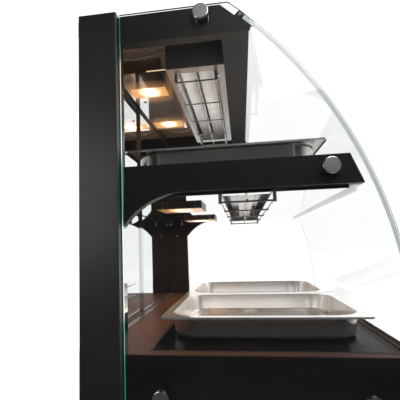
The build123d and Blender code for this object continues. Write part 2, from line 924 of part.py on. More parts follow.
with BuildPart() as front_rail:
    with BuildSketch(Plane.YZ.offset(-frame_in)):
        with BuildLine():
            Polyline(
                (shelf_front, shelf_bottom),
                (shelf_front - front_rail_depth, shelf_bottom),
                (shelf_front - front_rail_depth, shelf_bottom + front_rail_lip),
                (shelf_front - 2 * sheet, shelf_bottom + front_rail_height),
                (shelf_front, shelf_bottom + front_rail_height),
                close=True,
            )
        make_face()
        offset(amount=-light_sheet, kind=Kind.INTERSECTION, mode=Mode.SUBTRACT)
    extrude(amount=2 * frame_in)
save(front_rail, "shelf_front_rail")

# Base: folded shell, deck with its inset hot plate, heater tray below it and the sill of the front glass
panel_z = (foot_height + deck_bottom) / 2
panel_half_x = panel_length / 2 - panel_lap
panel_half_z = panel_height / 2 - panel_lap
inlet_body_x = inlet_width / 2 - 2 * switch_rim
inlet_body_z = inlet_height / 2 - 2 * switch_rim
foot_points = [
    (side_x * (frame_out - foot_inset_x), y)
    for side_x in (-1, 1)
    for y in (front_y + foot_inset_y, back_y - foot_inset_y)
]
with BuildPart() as base_shell:
    block((-frame_out, frame_out), (front_y, back_y), (foot_height, deck_bottom))
    block(
        (-frame_out + sheet, frame_out - sheet),
        (front_y + sheet, back_y - sheet),
        (floor_top, deck_bottom),
        Mode.SUBTRACT,
    )
    for label, side in sides:
        block(
            ends(side, frame_out - sheet, frame_out),
            (column_front, column_back),
            (floor_top, deck_bottom),
            Mode.SUBTRACT,
        )
        for y, z in fixing_points[2:]:
            rod((side * (frame_out - sheet), y, z), (side * frame_out, y, z), fixing_hole, Mode.SUBTRACT)
    block(
        (panel_x - panel_half_x, panel_x + panel_half_x),
        (back_y - sheet, back_y),
        (panel_z - panel_half_z, panel_z + panel_half_z),
        Mode.SUBTRACT,
    )
    block(
        (inlet_x - inlet_body_x - fit_gap, inlet_x + inlet_body_x + fit_gap),
        (back_y - sheet, back_y),
        (panel_z - inlet_body_z - fit_gap, panel_z + inlet_body_z + fit_gap),
        Mode.SUBTRACT,
    )
    for i in range(vent_count):
        x = inlet_x + vent_from_inlet + i * vent_pitch
        block(
            (x - vent_width / 2, x + vent_width / 2),
            (back_y - sheet, back_y),
            (panel_z - vent_height / 2, panel_z + vent_height / 2),
            Mode.SUBTRACT,
        )
    for x, y in foot_points:
        rod((x, y, foot_height), (x, y, floor_top), foot_screw_radius + fit_gap, Mode.SUBTRACT)
save(base_shell, "base_shell")

plate_half = frame_out - hot_plate_end_gap
with BuildPart() as deck:
    block((-frame_out, frame_out), (front_y, back_y), (deck_bottom, deck_top))
    block(
        (-plate_half - hot_plate_play, plate_half + hot_plate_play),
        (hot_plate_front_y - hot_plate_play, hot_plate_rear_y + hot_plate_play),
        (deck_bottom, deck_top),
        Mode.SUBTRACT,
    )
    for label, side in sides:
        block(
            ends(side, frame_in, frame_out),
            (column_front, column_back),
            (deck_bottom, deck_top),
            Mode.SUBTRACT,
        )
save(deck, "deck")

with BuildPart() as hot_plate:
    block(
        (-plate_half, plate_half),
        (hot_plate_front_y, hot_plate_rear_y),
        (deck_top - hot_plate_thick, deck_top),
    )
save(hot_plate, "hot_plate")

plate_bottom = deck_top - hot_plate_thick
ring_out_x = plate_half + hot_plate_ledge
ring_in_x = plate_half - hot_plate_ledge
ring_out_y = (hot_plate_front_y - hot_plate_ledge, hot_plate_rear_y + hot_plate_ledge)
ring_in_y = (hot_plate_front_y + hot_plate_ledge, hot_plate_rear_y - hot_plate_ledge)
heater_in_y = (ring_in_y[0] + fit_gap, ring_in_y[1] - fit_gap)
heater_bottom = plate_bottom - deck_heater_thick
tray_bottom = heater_bottom - insulation_thick - light_sheet
with BuildPart() as deck_heater:
    block((-ring_in_x + fit_gap, ring_in_x - fit_gap), heater_in_y, (heater_bottom, plate_bottom))
save(deck_heater, "deck_heater")

with BuildPart() as insulation:
    block(
        (-ring_in_x + fit_gap, ring_in_x - fit_gap),
        heater_in_y,
        (heater_bottom - insulation_thick, heater_bottom),
    )
save(insulation, "insulation_slab")

with BuildPart() as heater_tray:
    block((-ring_out_x, ring_out_x), ring_out_y, (tray_bottom, deck_bottom))
    block(
        (-plate_half - hot_plate_play, plate_half + hot_plate_play),
        (hot_plate_front_y - hot_plate_play, hot_plate_rear_y + hot_plate_play),
        (plate_bottom, deck_bottom),
        Mode.SUBTRACT,
    )
    block(
        (-ring_out_x + light_sheet, ring_out_x - light_sheet),
        (ring_out_y[0] + light_sheet, ring_out_y[1] - light_sheet),
        (tray_bottom + light_sheet, plate_bottom - sheet),
        Mode.SUBTRACT,
    )
    block((-ring_in_x, ring_in_x), ring_in_y, (plate_bottom - sheet, plate_bottom), Mode.SUBTRACT)
save(heater_tray, "deck_heater_tray")

sill_front = arc_y - glass_radius
lip_front = arc_y - glass_inner + fit_gap
with BuildPart() as glass_sill:
    block(
        (-frame_out, frame_out),
        (sill_front, sill_front + sill_depth),
        (deck_top, glass_foot - fit_gap),
    )
    block((-frame_out, frame_out), (lip_front, lip_front + sill_wall), (deck_top, deck_top + sill_lip))
save(glass_sill, "glass_sill")

with BuildPart() as feet:
    for x, y in foot_points:
        with Locations((x, y, foot_height / 2)):
            Cone(foot_radius - foot_taper, foot_radius, foot_height)
        rod((x, y, foot_height), (x, y, floor_top + foot_screw_length), foot_screw_radius)
save(feet, "rubber_feet")

# Control panel on the back of the base: thermostats with their knobs, rocker switches, indicators
knob_places = [first_knob_x + i * knob_pitch for i in range(knob_count)]
switch_places = [first_switch_x + i * switch_pitch for i in range(switch_count)]
panel_face = back_y + sheet
switch_half_x = switch_width / 2 - switch_rim
switch_half_z = switch_height / 2 - switch_rim
indicator_z = panel_z + indicator_rise
with BuildPart() as control_panel:
    block(
        (panel_x - panel_length / 2, panel_x + panel_length / 2),
        (back_y, panel_face),
        (panel_z - panel_height / 2, panel_z + panel_height / 2),
    )
    for x in knob_places:
        rod((x, back_y, panel_z), (x, panel_face, panel_z), bushing_radius + fit_gap, Mode.SUBTRACT)
        rod((x, back_y, indicator_z), (x, panel_face, indicator_z), indicator_radius, Mode.SUBTRACT)
    for x in switch_places:
        block(
            (x - switch_half_x - fit_gap, x + switch_half_x + fit_gap),
            (back_y, panel_face),
            (panel_z - switch_half_z - fit_gap, panel_z + switch_half_z + fit_gap),
            Mode.SUBTRACT,
        )
save(control_panel, "control_panel")

bushing_end = panel_face + sheet
bore_depth = thermostat_depth / 2
with BuildPart() as thermostats:
    for x in knob_places:
        block(
            (x - thermostat_side / 2, x + thermostat_side / 2),
            (back_y - thermostat_depth, back_y),
            (panel_z - thermostat_side / 2, panel_z + thermostat_side / 2),
        )
        rod((x, back_y, panel_z), (x, bushing_end, panel_z), bushing_radius)
        rod(
            (x, back_y - bore_depth, panel_z),
            (x, bushing_end, panel_z),
            shaft_radius + pin_clearance,
            Mode.SUBTRACT,
        )
save(thermostats, "thermostats")

knob_start = bushing_end + fit_gap
knob_end = back_y + knob_reach
for i, x in enumerate(knob_places):
    with BuildPart() as knob:
        rod((x, knob_start, panel_z), (x, knob_start + knob_skirt, panel_z), knob_radius)
        rod((x, knob_start + knob_skirt, panel_z), (x, knob_end, panel_z), knob_grip_radius)
        block(
            (x - knob_pointer / 2, x + knob_pointer / 2),
            (knob_start + knob_skirt, knob_end),
            (panel_z, panel_z + knob_radius - knob_pointer / 2),
        )
        fillet(knob.faces().filter_by(Axis.Y).sort_by(Axis.Y)[-1].edges(), knob_edge)
        rod(
            (x, back_y - bore_depth + fit_gap, panel_z),
            (x, knob_start + knob_skirt, panel_z),
            shaft_radius,
        )
    save(knob, f"thermostat_knob_{i + 1}")

with BuildPart() as indicators:
    for x in knob_places:
        rod((x, back_y - indicator_radius, indicator_z), (x, panel_face, indicator_z), indicator_radius)
        rod(
            (x, panel_face, indicator_z),
            (x, panel_face + indicator_height, indicator_z),
            indicator_radius + switch_rim / 2,
        )
    lens_faces = indicators.faces().filter_by(Axis.Y).group_by(Axis.Y)[-1]
    fillet(lens_faces.edges(), indicator_height / 2)
save(indicators, "indicator_lamps")

bezel_face = panel_face + switch_rim
pocket_half_x = switch_half_x - pocket_wall
pocket_half_z = switch_half_z - pocket_wall
rocker_axis_y = bezel_face - rocker_axis_depth
with BuildPart() as switch_housings:
    for x in switch_places:
        block(
            (x - switch_half_x, x + switch_half_x),
            (panel_face - switch_depth, panel_face),
            (panel_z - switch_half_z, panel_z + switch_half_z),
        )
        block(
            (x - switch_width / 2, x + switch_width / 2),
            (panel_face, bezel_face),
            (panel_z - switch_height / 2, panel_z + switch_height / 2),
        )
        block(
            (x - pocket_half_x, x + pocket_half_x),
            (bezel_face - rocker_pocket_depth, bezel_face),
            (panel_z - pocket_half_z, panel_z + pocket_half_z),
            Mode.SUBTRACT,
        )
        rod(
            (x - pocket_half_x - pocket_wall / 2, rocker_axis_y, panel_z),
            (x + pocket_half_x + pocket_wall / 2, rocker_axis_y, panel_z),
            rocker_pin + pin_clearance,
            Mode.SUBTRACT,
        )
save(switch_housings, "switch_housings")

rocker_half_x = pocket_half_x - fit_gap
rocker_tip = pocket_half_z - 2 * rocker_tip_gap
for i, x in enumerate(switch_places):
    with BuildPart() as rocker:
        with BuildSketch(Plane.YZ.offset(x - rocker_half_x)):
            with Locations((rocker_axis_y, panel_z)):
                with Locations(Location((0, 0), -rocker_tilt)):
                    Polygon(
                        (-rocker_root, -rocker_root_half),
                        (rocker_rise, -rocker_tip),
                        (rocker_waist, 0),
                        (rocker_rise, rocker_tip),
                        (-rocker_root, rocker_root_half),
                        align=None,
                    )
        extrude(amount=2 * rocker_half_x)
        rod(
            (x - pocket_half_x - pocket_wall / 2 + fit_gap / 2, rocker_axis_y, panel_z),
            (x + pocket_half_x + pocket_wall / 2 - fit_gap / 2, rocker_axis_y, panel_z),
            rocker_pin,
        )
    save(rocker, f"rocker_switch_{i + 1}")

# Mains side: inlet in the back wall and a terminal block on the floor behind it
with BuildPart() as inlet:
    block(
        (inlet_x - inlet_width / 2, inlet_x + inlet_width / 2),
        (back_y, back_y + switch_rim),
        (panel_z - inlet_height / 2, panel_z + inlet_height / 2),
    )
    block(
        (inlet_x - inlet_body_x, inlet_x + inlet_body_x),
        (back_y - inlet_depth, back_y),
        (panel_z - inlet_body_z, panel_z + inlet_body_z),
    )
    block(
        (inlet_x - inlet_body_x + switch_rim, inlet_x + inlet_body_x - switch_rim),
        (back_y - inlet_depth + 2 * switch_rim, back_y + switch_rim),
        (panel_z - inlet_body_z + switch_rim, panel_z + inlet_body_z - switch_rim),
        Mode.SUBTRACT,
    )
    for i in (-1, 0, 1):
        blade_x = inlet_x + i * blade_pitch
        block(
            (blade_x - blade_width / 2, blade_x + blade_width / 2),
            (back_y - inlet_depth + switch_rim, back_y - switch_rim),
            (panel_z - blade_height / 2, panel_z + blade_height / 2),
        )
save(inlet, "power_inlet")

terminal_x = inlet_x + terminal_from_inlet
terminal_y = back_y - inlet_depth - terminal_gap
with BuildPart() as terminals:
    block(
        (terminal_x - terminal_length / 2, terminal_x + terminal_length / 2),
        (terminal_y - terminal_width, terminal_y),
        (floor_top, floor_top + terminal_height),
    )
    for i in range(terminal_ways):
        x = terminal_x + (i - (terminal_ways - 1) / 2) * terminal_length / terminal_ways
        rod(
            (x, terminal_y - terminal_width / 2, floor_top + terminal_height / 2),
            (x, terminal_y - terminal_width / 2, floor_top + terminal_height),
            screw_radius,
            Mode.SUBTRACT,
        )
save(terminals, "terminal_block")

# Gastronorm pans: two on the deck, two on the shelf
pan_step = pan_length_x + pan_spacing
pan_pair = pan_length_x + pan_step
deck_pan_x = (2 * frame_in - pan_pair) * deck_pan_share - frame_in
shelf_pan_x = (2 * frame_in - pan_pair) * shelf_pan_share - frame_in
pan_places = {
    "deck_pan_left": (deck_pan_x, deck_pan_front_y, deck_top, deck_pan_height),
    "deck_pan_right": (deck_pan_x + pan_step, deck_pan_front_y, deck_top, deck_pan_height),
    "shelf_pan_left": (shelf_pan_x, shelf_pan_front_y, shelf_top, shelf_pan_height),
    "shelf_pan_right": (shelf_pan_x + pan_step, shelf_pan_front_y, shelf_top, shelf_pan_height),
}
for name, (low_x, low_y, floor_z, pan_height) in pan_places.items():
    rim_z = floor_z + fit_gap + pan_height
    centre = (low_x + pan_length_x / 2, low_y + pan_depth_y / 2)
    mouth_x = pan_length_x - 2 * pan_flange
    mouth_y = pan_depth_y - 2 * pan_flange
    with BuildPart() as pan:
        with BuildSketch(Plane.XY.offset(rim_z)):
            with Locations(centre):
                RectangleRounded(mouth_x, mouth_y, pan_corner)
        extrude(amount=-pan_height, taper=pan_taper)
        fillet(pan.faces().sort_by(Axis.Z)[0].edges(), pan_floor_radius)
        with BuildSketch(Plane.XY.offset(rim_z - pan_rim_drop)):
            with Locations(centre):
                RectangleRounded(pan_length_x, pan_depth_y, pan_rim_corner)
        extrude(amount=pan_rim_drop)
        with BuildSketch(Plane.XY.offset(rim_z - pan_rim_drop)):
            with Locations(centre):
                RectangleRounded(
                    pan_length_x - 2 * pan_wall, pan_depth_y - 2 * pan_wall, pan_rim_corner - pan_wall
                )
                RectangleRounded(mouth_x, mouth_y, pan_corner, mode=Mode.SUBTRACT)
        extrude(amount=pan_rim_drop - pan_wall, mode=Mode.SUBTRACT)
        with BuildPart(mode=Mode.SUBTRACT) as cavity:
            with BuildSketch(Plane.XY.offset(rim_z)):
                with Locations(centre):
                    RectangleRounded(mouth_x - 2 * pan_wall, mouth_y - 2 * pan_wall, pan_corner - pan_wall)
            extrude(amount=-(pan_height - pan_wall), taper=pan_taper)
            fillet(cavity.faces().sort_by(Axis.Z)[0].edges(), pan_floor_radius - pan_wall)
    save(pan, name)

# Screw heads: frames, lamp panel and shelf lamp trays
screw_places = []
for label, side in sides:
    for y, z in (
        (column_front + column_screw_y, gusset_end_z + column_screw_z),
        (column_front + rear_screw_y, shelf_bottom - rear_screw_drop),
        (column_front + front_screw_y, shelf_bottom - front_screw_drop),
    ):
        screw_places.append(((side * frame_in, y, z), (-side, 0, 0)))
    screw_places.append(((side * panel_screw_x, window_y + panel_screw_y, panel_bottom), (0, 0, -1)))
with BuildPart() as screws:
    for (x, y, z), (dx, dy, dz) in screw_places:
        rod((x, y, z), (x + dx * screw_height, y + dy * screw_height, z + dz * screw_height), screw_radius)
save(screws, "screws")
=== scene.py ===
import bmesh
import bpy
import json
import math
from mathutils import Matrix, Vector
from mathutils.bvhtree import BVHTree


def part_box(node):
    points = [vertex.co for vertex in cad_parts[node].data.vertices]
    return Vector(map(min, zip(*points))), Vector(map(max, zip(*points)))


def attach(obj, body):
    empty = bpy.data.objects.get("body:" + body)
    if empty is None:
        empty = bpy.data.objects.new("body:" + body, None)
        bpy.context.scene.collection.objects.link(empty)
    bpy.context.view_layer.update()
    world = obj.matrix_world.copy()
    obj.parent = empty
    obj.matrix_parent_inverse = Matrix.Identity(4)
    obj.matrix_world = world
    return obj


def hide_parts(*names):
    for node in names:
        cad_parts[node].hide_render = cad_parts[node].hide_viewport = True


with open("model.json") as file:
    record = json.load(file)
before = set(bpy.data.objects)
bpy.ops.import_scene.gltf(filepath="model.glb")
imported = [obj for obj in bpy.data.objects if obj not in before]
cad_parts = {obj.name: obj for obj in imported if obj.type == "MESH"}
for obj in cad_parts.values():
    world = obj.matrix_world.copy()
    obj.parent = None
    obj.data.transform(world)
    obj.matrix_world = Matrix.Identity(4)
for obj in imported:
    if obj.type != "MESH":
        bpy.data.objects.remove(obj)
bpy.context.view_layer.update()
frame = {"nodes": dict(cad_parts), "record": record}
scene = bpy.context.scene
NODES = frame["nodes"]
MM = 0.001

# Camera: where the photograph was taken from, in metres and degrees
CAMERA_PLACE = (-1.004, -0.022, 0.3535)
CAMERA_TURN = (-6.37, 9.12, -2.28)
PICTURE = 400
FOCAL_PIXELS = 397.0
CENTRE_PIXEL = 177.0
SENSOR = 36.0

# The surround: how bright it is from each end of the case, how white it looks, and where it changes
NEAR_LIGHT = 0.045
FAR_LIGHT = 1.15
SEEN_WHITE = 1.2
LIGHT_FROM = -0.55
LIGHT_TO = 0.3

# The floor: its radius, its glow and tone where it is looked at, the most tone it has in what it
# lights, and how far under it the point lies that its glow is reckoned from
FLOOR_REACH = 14.0
FLOOR_SEEN = 0.8
FLOOR_TONE = 0.7
FLOOR_CAST = 0.04
FLOOR_LIFT = 0.6

# Colours that several materials share
WHITE = (1.0, 1.0, 1.0)
GLASS_TINT = (0.975, 0.985, 0.983)
FRONT_TINT = (0.9, 0.905, 0.905)
FRAME_BLACK = (0.0072, 0.007, 0.007)
FRAME_PAINTED_HIGHLIGHT = (0.04, 0.04, 0.04)
CEILING_PAINTED_WARM_LIGHT = (0.17, 0.12, 0.09)
BACKING_GREY = (0.12, 0.123, 0.128)
BACKING_PALE = (0.16, 0.163, 0.168)
MIRROR_COLOUR = (0.86, 0.87, 0.87)
EDGE_DARK = (0.002, 0.0018, 0.0016)
GLASS_EDGE = (0.05, 0.27, 0.23)
PANEL_STEEL = (0.84, 0.83, 0.84)
WARM = (1.0, 0.6, 0.28)
SPILL = (1.0, 0.5, 0.2)
LAMP_CORE = (1.0, 0.93, 0.78)
LAMP_RIM = (1.0, 0.55, 0.2)

# Painted glow of the end glass's rear edge at each height, standing in for the light it shows: green against
# what is dark, pale in between
EDGE_GREEN = (0.02, 0.2, 0.16)
EDGE_BRIGHT = (0.06, 0.32, 0.25)
EDGE_WHITE = (0.7, 0.74, 0.72)
EDGE_WARM = (0.85, 0.62, 0.38)
EDGE_DIM = (0.012, 0.09, 0.075)
END_EDGE_PAINTED_GLOW = [
    (0.07, EDGE_GREEN), (0.236, EDGE_GREEN), (0.25, EDGE_WHITE), (0.385, EDGE_WHITE),
    (0.4, EDGE_BRIGHT), (0.484, EDGE_BRIGHT), (0.5, EDGE_WHITE), (0.57, EDGE_WHITE),
    (0.59, EDGE_WARM), (0.655, EDGE_WARM), (0.67, EDGE_DIM), (0.75, EDGE_DIM),
]

# Painted reflections on a cut mirror edge at each height: deck, light room, dark shelf and canopy
EDGE_ROOM = (0.77, 0.77, 0.77)
MIRROR_EDGE_PAINTED_REFLECTIONS = [
    (0.19, (0.09, 0.055, 0.042)), (0.236, (0.12, 0.09, 0.08)), (0.24, EDGE_ROOM),
    (0.398, EDGE_ROOM), (0.402, (0.012, 0.011, 0.01)), (0.72, (0.02, 0.015, 0.011)),
]

# Painted shade that runs along the case on some pieces
PANEL_PAINTED_SHADE = [
    (-0.24, (0.2, 0.16, 0.12)), (-0.13, (0.36, 0.3, 0.25)), (-0.09, PANEL_STEEL), (0.2, PANEL_STEEL),
]
BEAM_PAINTED_SHADE = [(-0.37, (0.075, 0.075, 0.076)), (0.3, (0.008, 0.008, 0.008))]

# Lamps: places of their centres, their windows and how bright they are
CANOPY_LAMP_X = 126 * MM
CANOPY_LAMP_Y = 173.5 * MM
SHELF_LAMP_X = 190 * MM
SHELF_LAMP_Y = 96.5 * MM
CANOPY_WINDOW = (56 * MM, 82 * MM)
SHELF_WINDOW = (95 * MM, 87 * MM)
WINDOW_THICK = 1.0 * MM
WINDOW_GLOW = 3.2
WINDOW_STRETCH = 0.45
LIT_SHARE = 0.7
LAMP_POWER = 3.0
SHELF_LAMP_POWER = 1.3
LAMP_SPILL = 0.25
SPILL_SIZE = 12 * MM
SPILL_DROP = 22 * MM
LIGHT_DROP = 2 * MM

# Bright strips: the lip of the lamp panel, the lip under the shelf rail and the mirrors on the columns
LIP_LENGTH = 43 * MM
LIP_START = 14 * MM
LIP_RADIUS = 1.1 * MM
RAIL_LIP_THICK = 3 * MM
RAIL_LIP_DROP = 11 * MM
RAIL_LIP_REACH = 22 * MM
SHELF_BOTTOM = 437 * MM
RETURN_INSET = 17 * MM
RETURN_THICK = 0.8 * MM
RETURN_TOP = 405 * MM
DECK_TOP = 190 * MM

# Fixings of the end glass
FIXING_RADIUS = 13 * MM
FIXING_HEIGHT = 10 * MM
FIXING_SHANK = 4 * MM
FIXING_RIM = 1.2 * MM
FIXING_DISH = 0.35 * MM
FIXING_TAIL = 14 * MM

# Small pieces: lamp box screws, the plate's seal, print, knob grips, lamp leads, nuts and edge skins
SHELF_BOX = (98 * MM, 90 * MM)
TRAY_SCREW = 2.0 * MM
TRAY_SCREW_INSET = 13 * MM
SEAL = 2.4 * MM
PRINT = 0.2 * MM
KNOB_GRIP = 15 * MM
KNOB_RIB = 0.8 * MM
LEAD = 1.3 * MM
LEAD_SAG = 10 * MM
LEAD_SWAY = 6 * MM
LEAD_GAP = 3 * MM
LEAD_X = 262 * MM
NUT_INSET = 20 * MM
NUT_SIDE = 1 * MM
SKIN_INSET = 0.1 * MM

# Half the outline of a guard's nut on its washer: radius and height in millimetres
NUT_OUTLINE = [(0, 0), (5.5, 0), (5.5, 0.8), (3.8, 0.9), (3.8, 3.0), (3.0, 4.0), (1.6, 5.0), (0, 5.2)]


def make_camera():
    """A camera looking along the case (+X), turned by a rotation vector about right, down and forward."""
    turn = Vector(CAMERA_TURN)
    rotation = Matrix.Rotation(math.radians(turn.length), 3, turn.normalized())
    world_axes = Matrix(((0, -1, 0), (0, 0, -1), (1, 0, 0)))
    right, down, forward = (rotation @ world_axes).row
    matrix = Matrix((right, -down, -forward)).transposed().to_4x4()
    matrix.translation = CAMERA_PLACE
    data = bpy.data.cameras.new("camera")
    data.sensor_width = SENSOR
    data.lens = FOCAL_PIXELS / PICTURE * SENSOR
    data.shift_x = 0.5 - CENTRE_PIXEL / PICTURE
    data.clip_start = 0.01
    camera = bpy.data.objects.new("camera", data)
    camera.matrix_world = matrix
    scene.collection.objects.link(camera)
    scene.camera = camera


class Paint:
    """A node material built from a Principled shader and textures in object space."""

    def __init__(self, name, colour, roughness, metallic=0.0, **sockets):
        self.material = bpy.data.materials.new(name)
        self.material.use_nodes = True
        self.tree = self.material.node_tree
        self.shader = self.tree.nodes["Principled BSDF"]
        self.set("Base Color", (*colour, 1.0))
        self.set("Roughness", roughness)
        self.set("Metallic", metallic)
        for key, value in sockets.items():
            self.set(key.replace("_", " "), value)

    def set(self, socket, value):
        self.shader.inputs[socket].default_value = value

    def node(self, kind, **settings):
        node = self.tree.nodes.new(kind)
        for key, value in settings.items():
            setattr(node, key, value)
        return node

    def link(self, source, target):
        self.tree.links.new(source, target)

    def drive(self, socket, source):
        self.link(source, self.shader.inputs[socket])

    def place(self, stretch=(1.0, 1.0, 1.0)):
        coordinates = self.node("ShaderNodeTexCoord")
        mapping = self.node("ShaderNodeMapping")
        mapping.inputs["Scale"].default_value = stretch
        self.link(coordinates.outputs["Object"], mapping.inputs["Vector"])
        return mapping.outputs["Vector"]

    def noise(self, scale, stretch=(1.0, 1.0, 1.0), detail=3.0, rough=0.55):
        node = self.node("ShaderNodeTexNoise")
        node.inputs["Scale"].default_value = scale
        node.inputs["Detail"].default_value = detail
        node.inputs["Roughness"].default_value = rough
        self.link(self.place(stretch), node.inputs["Vector"])
        return node.outputs["Fac"]

    def math(self, operation, first, second=0.0):
        node = self.node("ShaderNodeMath", operation=operation)
        for value, socket in ((first, node.inputs[0]), (second, node.inputs[1])):
            if isinstance(value, (int, float)):
                socket.default_value = value
            else:
                self.link(value, socket)
        return node.outputs[0]

    def ramp(self, fac, low, high, start=0.3, end=0.7):
        node = self.node("ShaderNodeMapRange")
        for socket, value in (("From Min", start), ("From Max", end), ("To Min", low), ("To Max", high)):
            node.inputs[socket].default_value = value
        self.link(fac, node.inputs["Value"])
        return node.outputs["Result"]

    def mix(self, fac, first, second):
        node = self.node("ShaderNodeMix", data_type="RGBA")
        self.link(fac, node.inputs["Factor"])
        for value, socket in ((first, "A"), (second, "B")):
            target = [i for i in node.inputs if i.name == socket and i.type == "RGBA"][0]
            if isinstance(value, tuple):
                target.default_value = (*value, 1.0)
            else:
                self.link(value, target)
        return [o for o in node.outputs if o.type == "RGBA"][0]

    def spot(self, axis):
        """How far along an axis (0, 1 or 2) of the case a point lies."""
        split = self.node("ShaderNodeSeparateXYZ")
        self.link(self.place(), split.inputs["Vector"])
        return split.outputs[axis]

    def bands(self, axis, stops):
        """Colours that follow one another along an axis, at (place, colour) stops."""
        first, last = stops[0][0], stops[-1][0]
        node = self.node("ShaderNodeValToRGB")
        self.link(self.ramp(self.spot(axis), 0.0, 1.0, first, last), node.inputs["Fac"])
        steps = node.color_ramp.elements
        while len(steps) < len(stops):
            steps.new(1.0)
        for step, (place, colour) in zip(steps, stops):
            step.position = (place - first) / (last - first)
            step.color = (*colour, 1.0)
        return node.outputs["Color"]

    def distance(self, across, along):
        """The length of a step whose two parts are given."""
        squares = [self.math("MULTIPLY", part, part) for part in (across, along)]
        return self.math("SQRT", self.math("ADD", *squares))

    def glow(self, colour, strength):
        self.set("Emission Color", (*colour, 1.0))
        self.set("Emission Strength", strength)

    def rough(self, fac, low, high):
        self.drive("Roughness", self.ramp(fac, low, high))

    def colour(self, fac, first, second):
        self.drive("Base Color", self.mix(fac, first, second))

    def bump(self, fac, depth, strength=1.0):
        node = self.node("ShaderNodeBump")
        node.inputs["Strength"].default_value = strength
        node.inputs["Distance"].default_value = depth
        self.link(fac, node.inputs["Height"])
        self.drive("Normal", node.outputs["Normal"])

    def facing(self, axis, reach):
        """From 0 to 1 as a surface's normal goes from -reach to reach along an axis (0, 1 or 2)."""
        geometry = self.node("ShaderNodeNewGeometry")
        split = self.node("ShaderNodeSeparateXYZ")
        self.link(geometry.outputs["True Normal"], split.inputs["Vector"])
        return self.ramp(split.outputs[axis], 0.0, 1.0, -reach, reach)


def powder_coat(name, colour, roughness, grain=1800.0, gloss=0.5):
    """Powder-coated sheet: fine orange peel, a slow change of shade and faint dust."""
    paint = Paint(name, colour, roughness, Specular_IOR_Level=gloss)
    slow = paint.noise(6.0, detail=4.0)
    lighter = tuple(c * 1.25 + 0.001 for c in colour)
    paint.colour(paint.ramp(slow, 0.0, 1.0), colour, lighter)
    paint.rough(slow, roughness - 0.04, roughness + 0.05)
    paint.bump(paint.noise(grain, detail=1.0), 0.002 * MM, 0.5)
    return paint


def brushed(name, colour, roughness, stretch, spread=0.03, grain=700.0, depth=0.001):
    """Rolled or brushed steel: long fine streaks along one axis, and faint smears."""
    paint = Paint(name, colour, roughness, 1.0)
    streaks = paint.noise(grain, stretch, detail=2.0, rough=0.5)
    slow = paint.noise(9.0, detail=4.0)
    darker = tuple(c * 0.92 for c in colour)
    paint.colour(paint.ramp(slow, 0.0, 1.0), darker, colour)
    smears = paint.ramp(slow, roughness, roughness * 1.3)
    paint.drive("Roughness", paint.math("ADD", paint.ramp(streaks, -spread, spread), smears))
    paint.bump(streaks, depth * MM, 0.5)
    return paint


def clear_glass(name, tint, bend):
    """Clean toughened glass with the faintest smears."""
    paint = Paint(name, tint, 0.0, IOR=bend, Transmission_Weight=1.0)
    paint.rough(paint.noise(14.0, detail=5.0), 0.0, 0.01)
    return paint


def end_edge(name):
    """The rear edge of the end glass, with a painted glow: green against the dark arms and base, pale
    between them.
    """
    paint = Paint(name, GLASS_EDGE, 0.35, Emission_Strength=1.0)
    paint.drive("Emission Color", paint.bands(2, END_EDGE_PAINTED_GLOW))
    paint.bump(paint.noise(900.0, detail=2.0), 0.01 * MM, 0.3)
    return paint


def glass_edge(name, colour, glow):
    """The ground edge of glass, with a painted glow standing in for the light that runs inside the sheet."""
    paint = Paint(name, colour, 0.35, Emission_Strength=glow)
    grain = paint.noise(900.0, detail=2.0)
    pale = tuple(min(1.0, c * 1.5 + 0.02) for c in colour)
    tone = paint.mix(paint.ramp(grain, 0.0, 1.0), colour, pale)
    paint.drive("Base Color", tone)
    paint.drive("Emission Color", tone)
    return paint


def lit_window(name, strength):
    """A lamp's window, white hot in its middle and amber at its rim, worked from its UV map."""
    paint = Paint(name, (0.25, 0.16, 0.09), 0.25)
    coordinates = paint.node("ShaderNodeTexCoord")
    split = paint.node("ShaderNodeSeparateXYZ")
    paint.link(coordinates.outputs["UV"], split.inputs["Vector"])
    across = paint.math("MULTIPLY", paint.math("SUBTRACT", split.outputs["X"], 0.5), WINDOW_STRETCH)
    along = paint.math("SUBTRACT", split.outputs["Y"], 0.5)
    pebble = paint.ramp(paint.noise(260.0, detail=2.0), -0.05, 0.05)
    fall = paint.math("ADD", paint.distance(across, along), pebble)
    paint.drive("Emission Color", paint.mix(paint.ramp(fall, 0.0, 1.0, 0.08, 0.36), LAMP_CORE, LAMP_RIM))
    paint.drive("Emission Strength", paint.ramp(fall, strength, strength * 0.14, 0.04, 0.33))
    paint.bump(paint.noise(500.0), 0.05 * MM, 0.4)
    return paint


def frame_coat(name):
    """The black of the end frames, with a painted highlight that makes it paler at the front of the canopy
    arms.
    """
    paint = powder_coat(name, FRAME_BLACK, 0.36, gloss=0.2)
    high = paint.ramp(paint.spot(2), 0.0, 1.0, 0.655, 0.665)
    ahead = paint.ramp(paint.spot(1), 1.0, 0.12, -0.11, 0.1)
    paint.colour(paint.math("MULTIPLY", high, ahead), FRAME_BLACK, FRAME_PAINTED_HIGHLIGHT)
    return paint


def canopy_coat(name):
    """Black above, and brown below with painted warm light from the lamps."""
    paint = powder_coat(name, FRAME_BLACK, 0.42, gloss=0.3)
    below = paint.ramp(paint.facing(2, 1.0), 1.0, 0.0, 0.3, 0.4)
    paint.colour(below, FRAME_BLACK, CEILING_PAINTED_WARM_LIGHT)
    return paint


def beam_coat(name):
    """The beam's matt black, with painted shade that darkens it along the case."""
    paint = powder_coat(name, (0.035, 0.035, 0.036), 0.75, gloss=0.05)
    paint.drive("Base Color", paint.bands(0, BEAM_PAINTED_SHADE))
    return paint


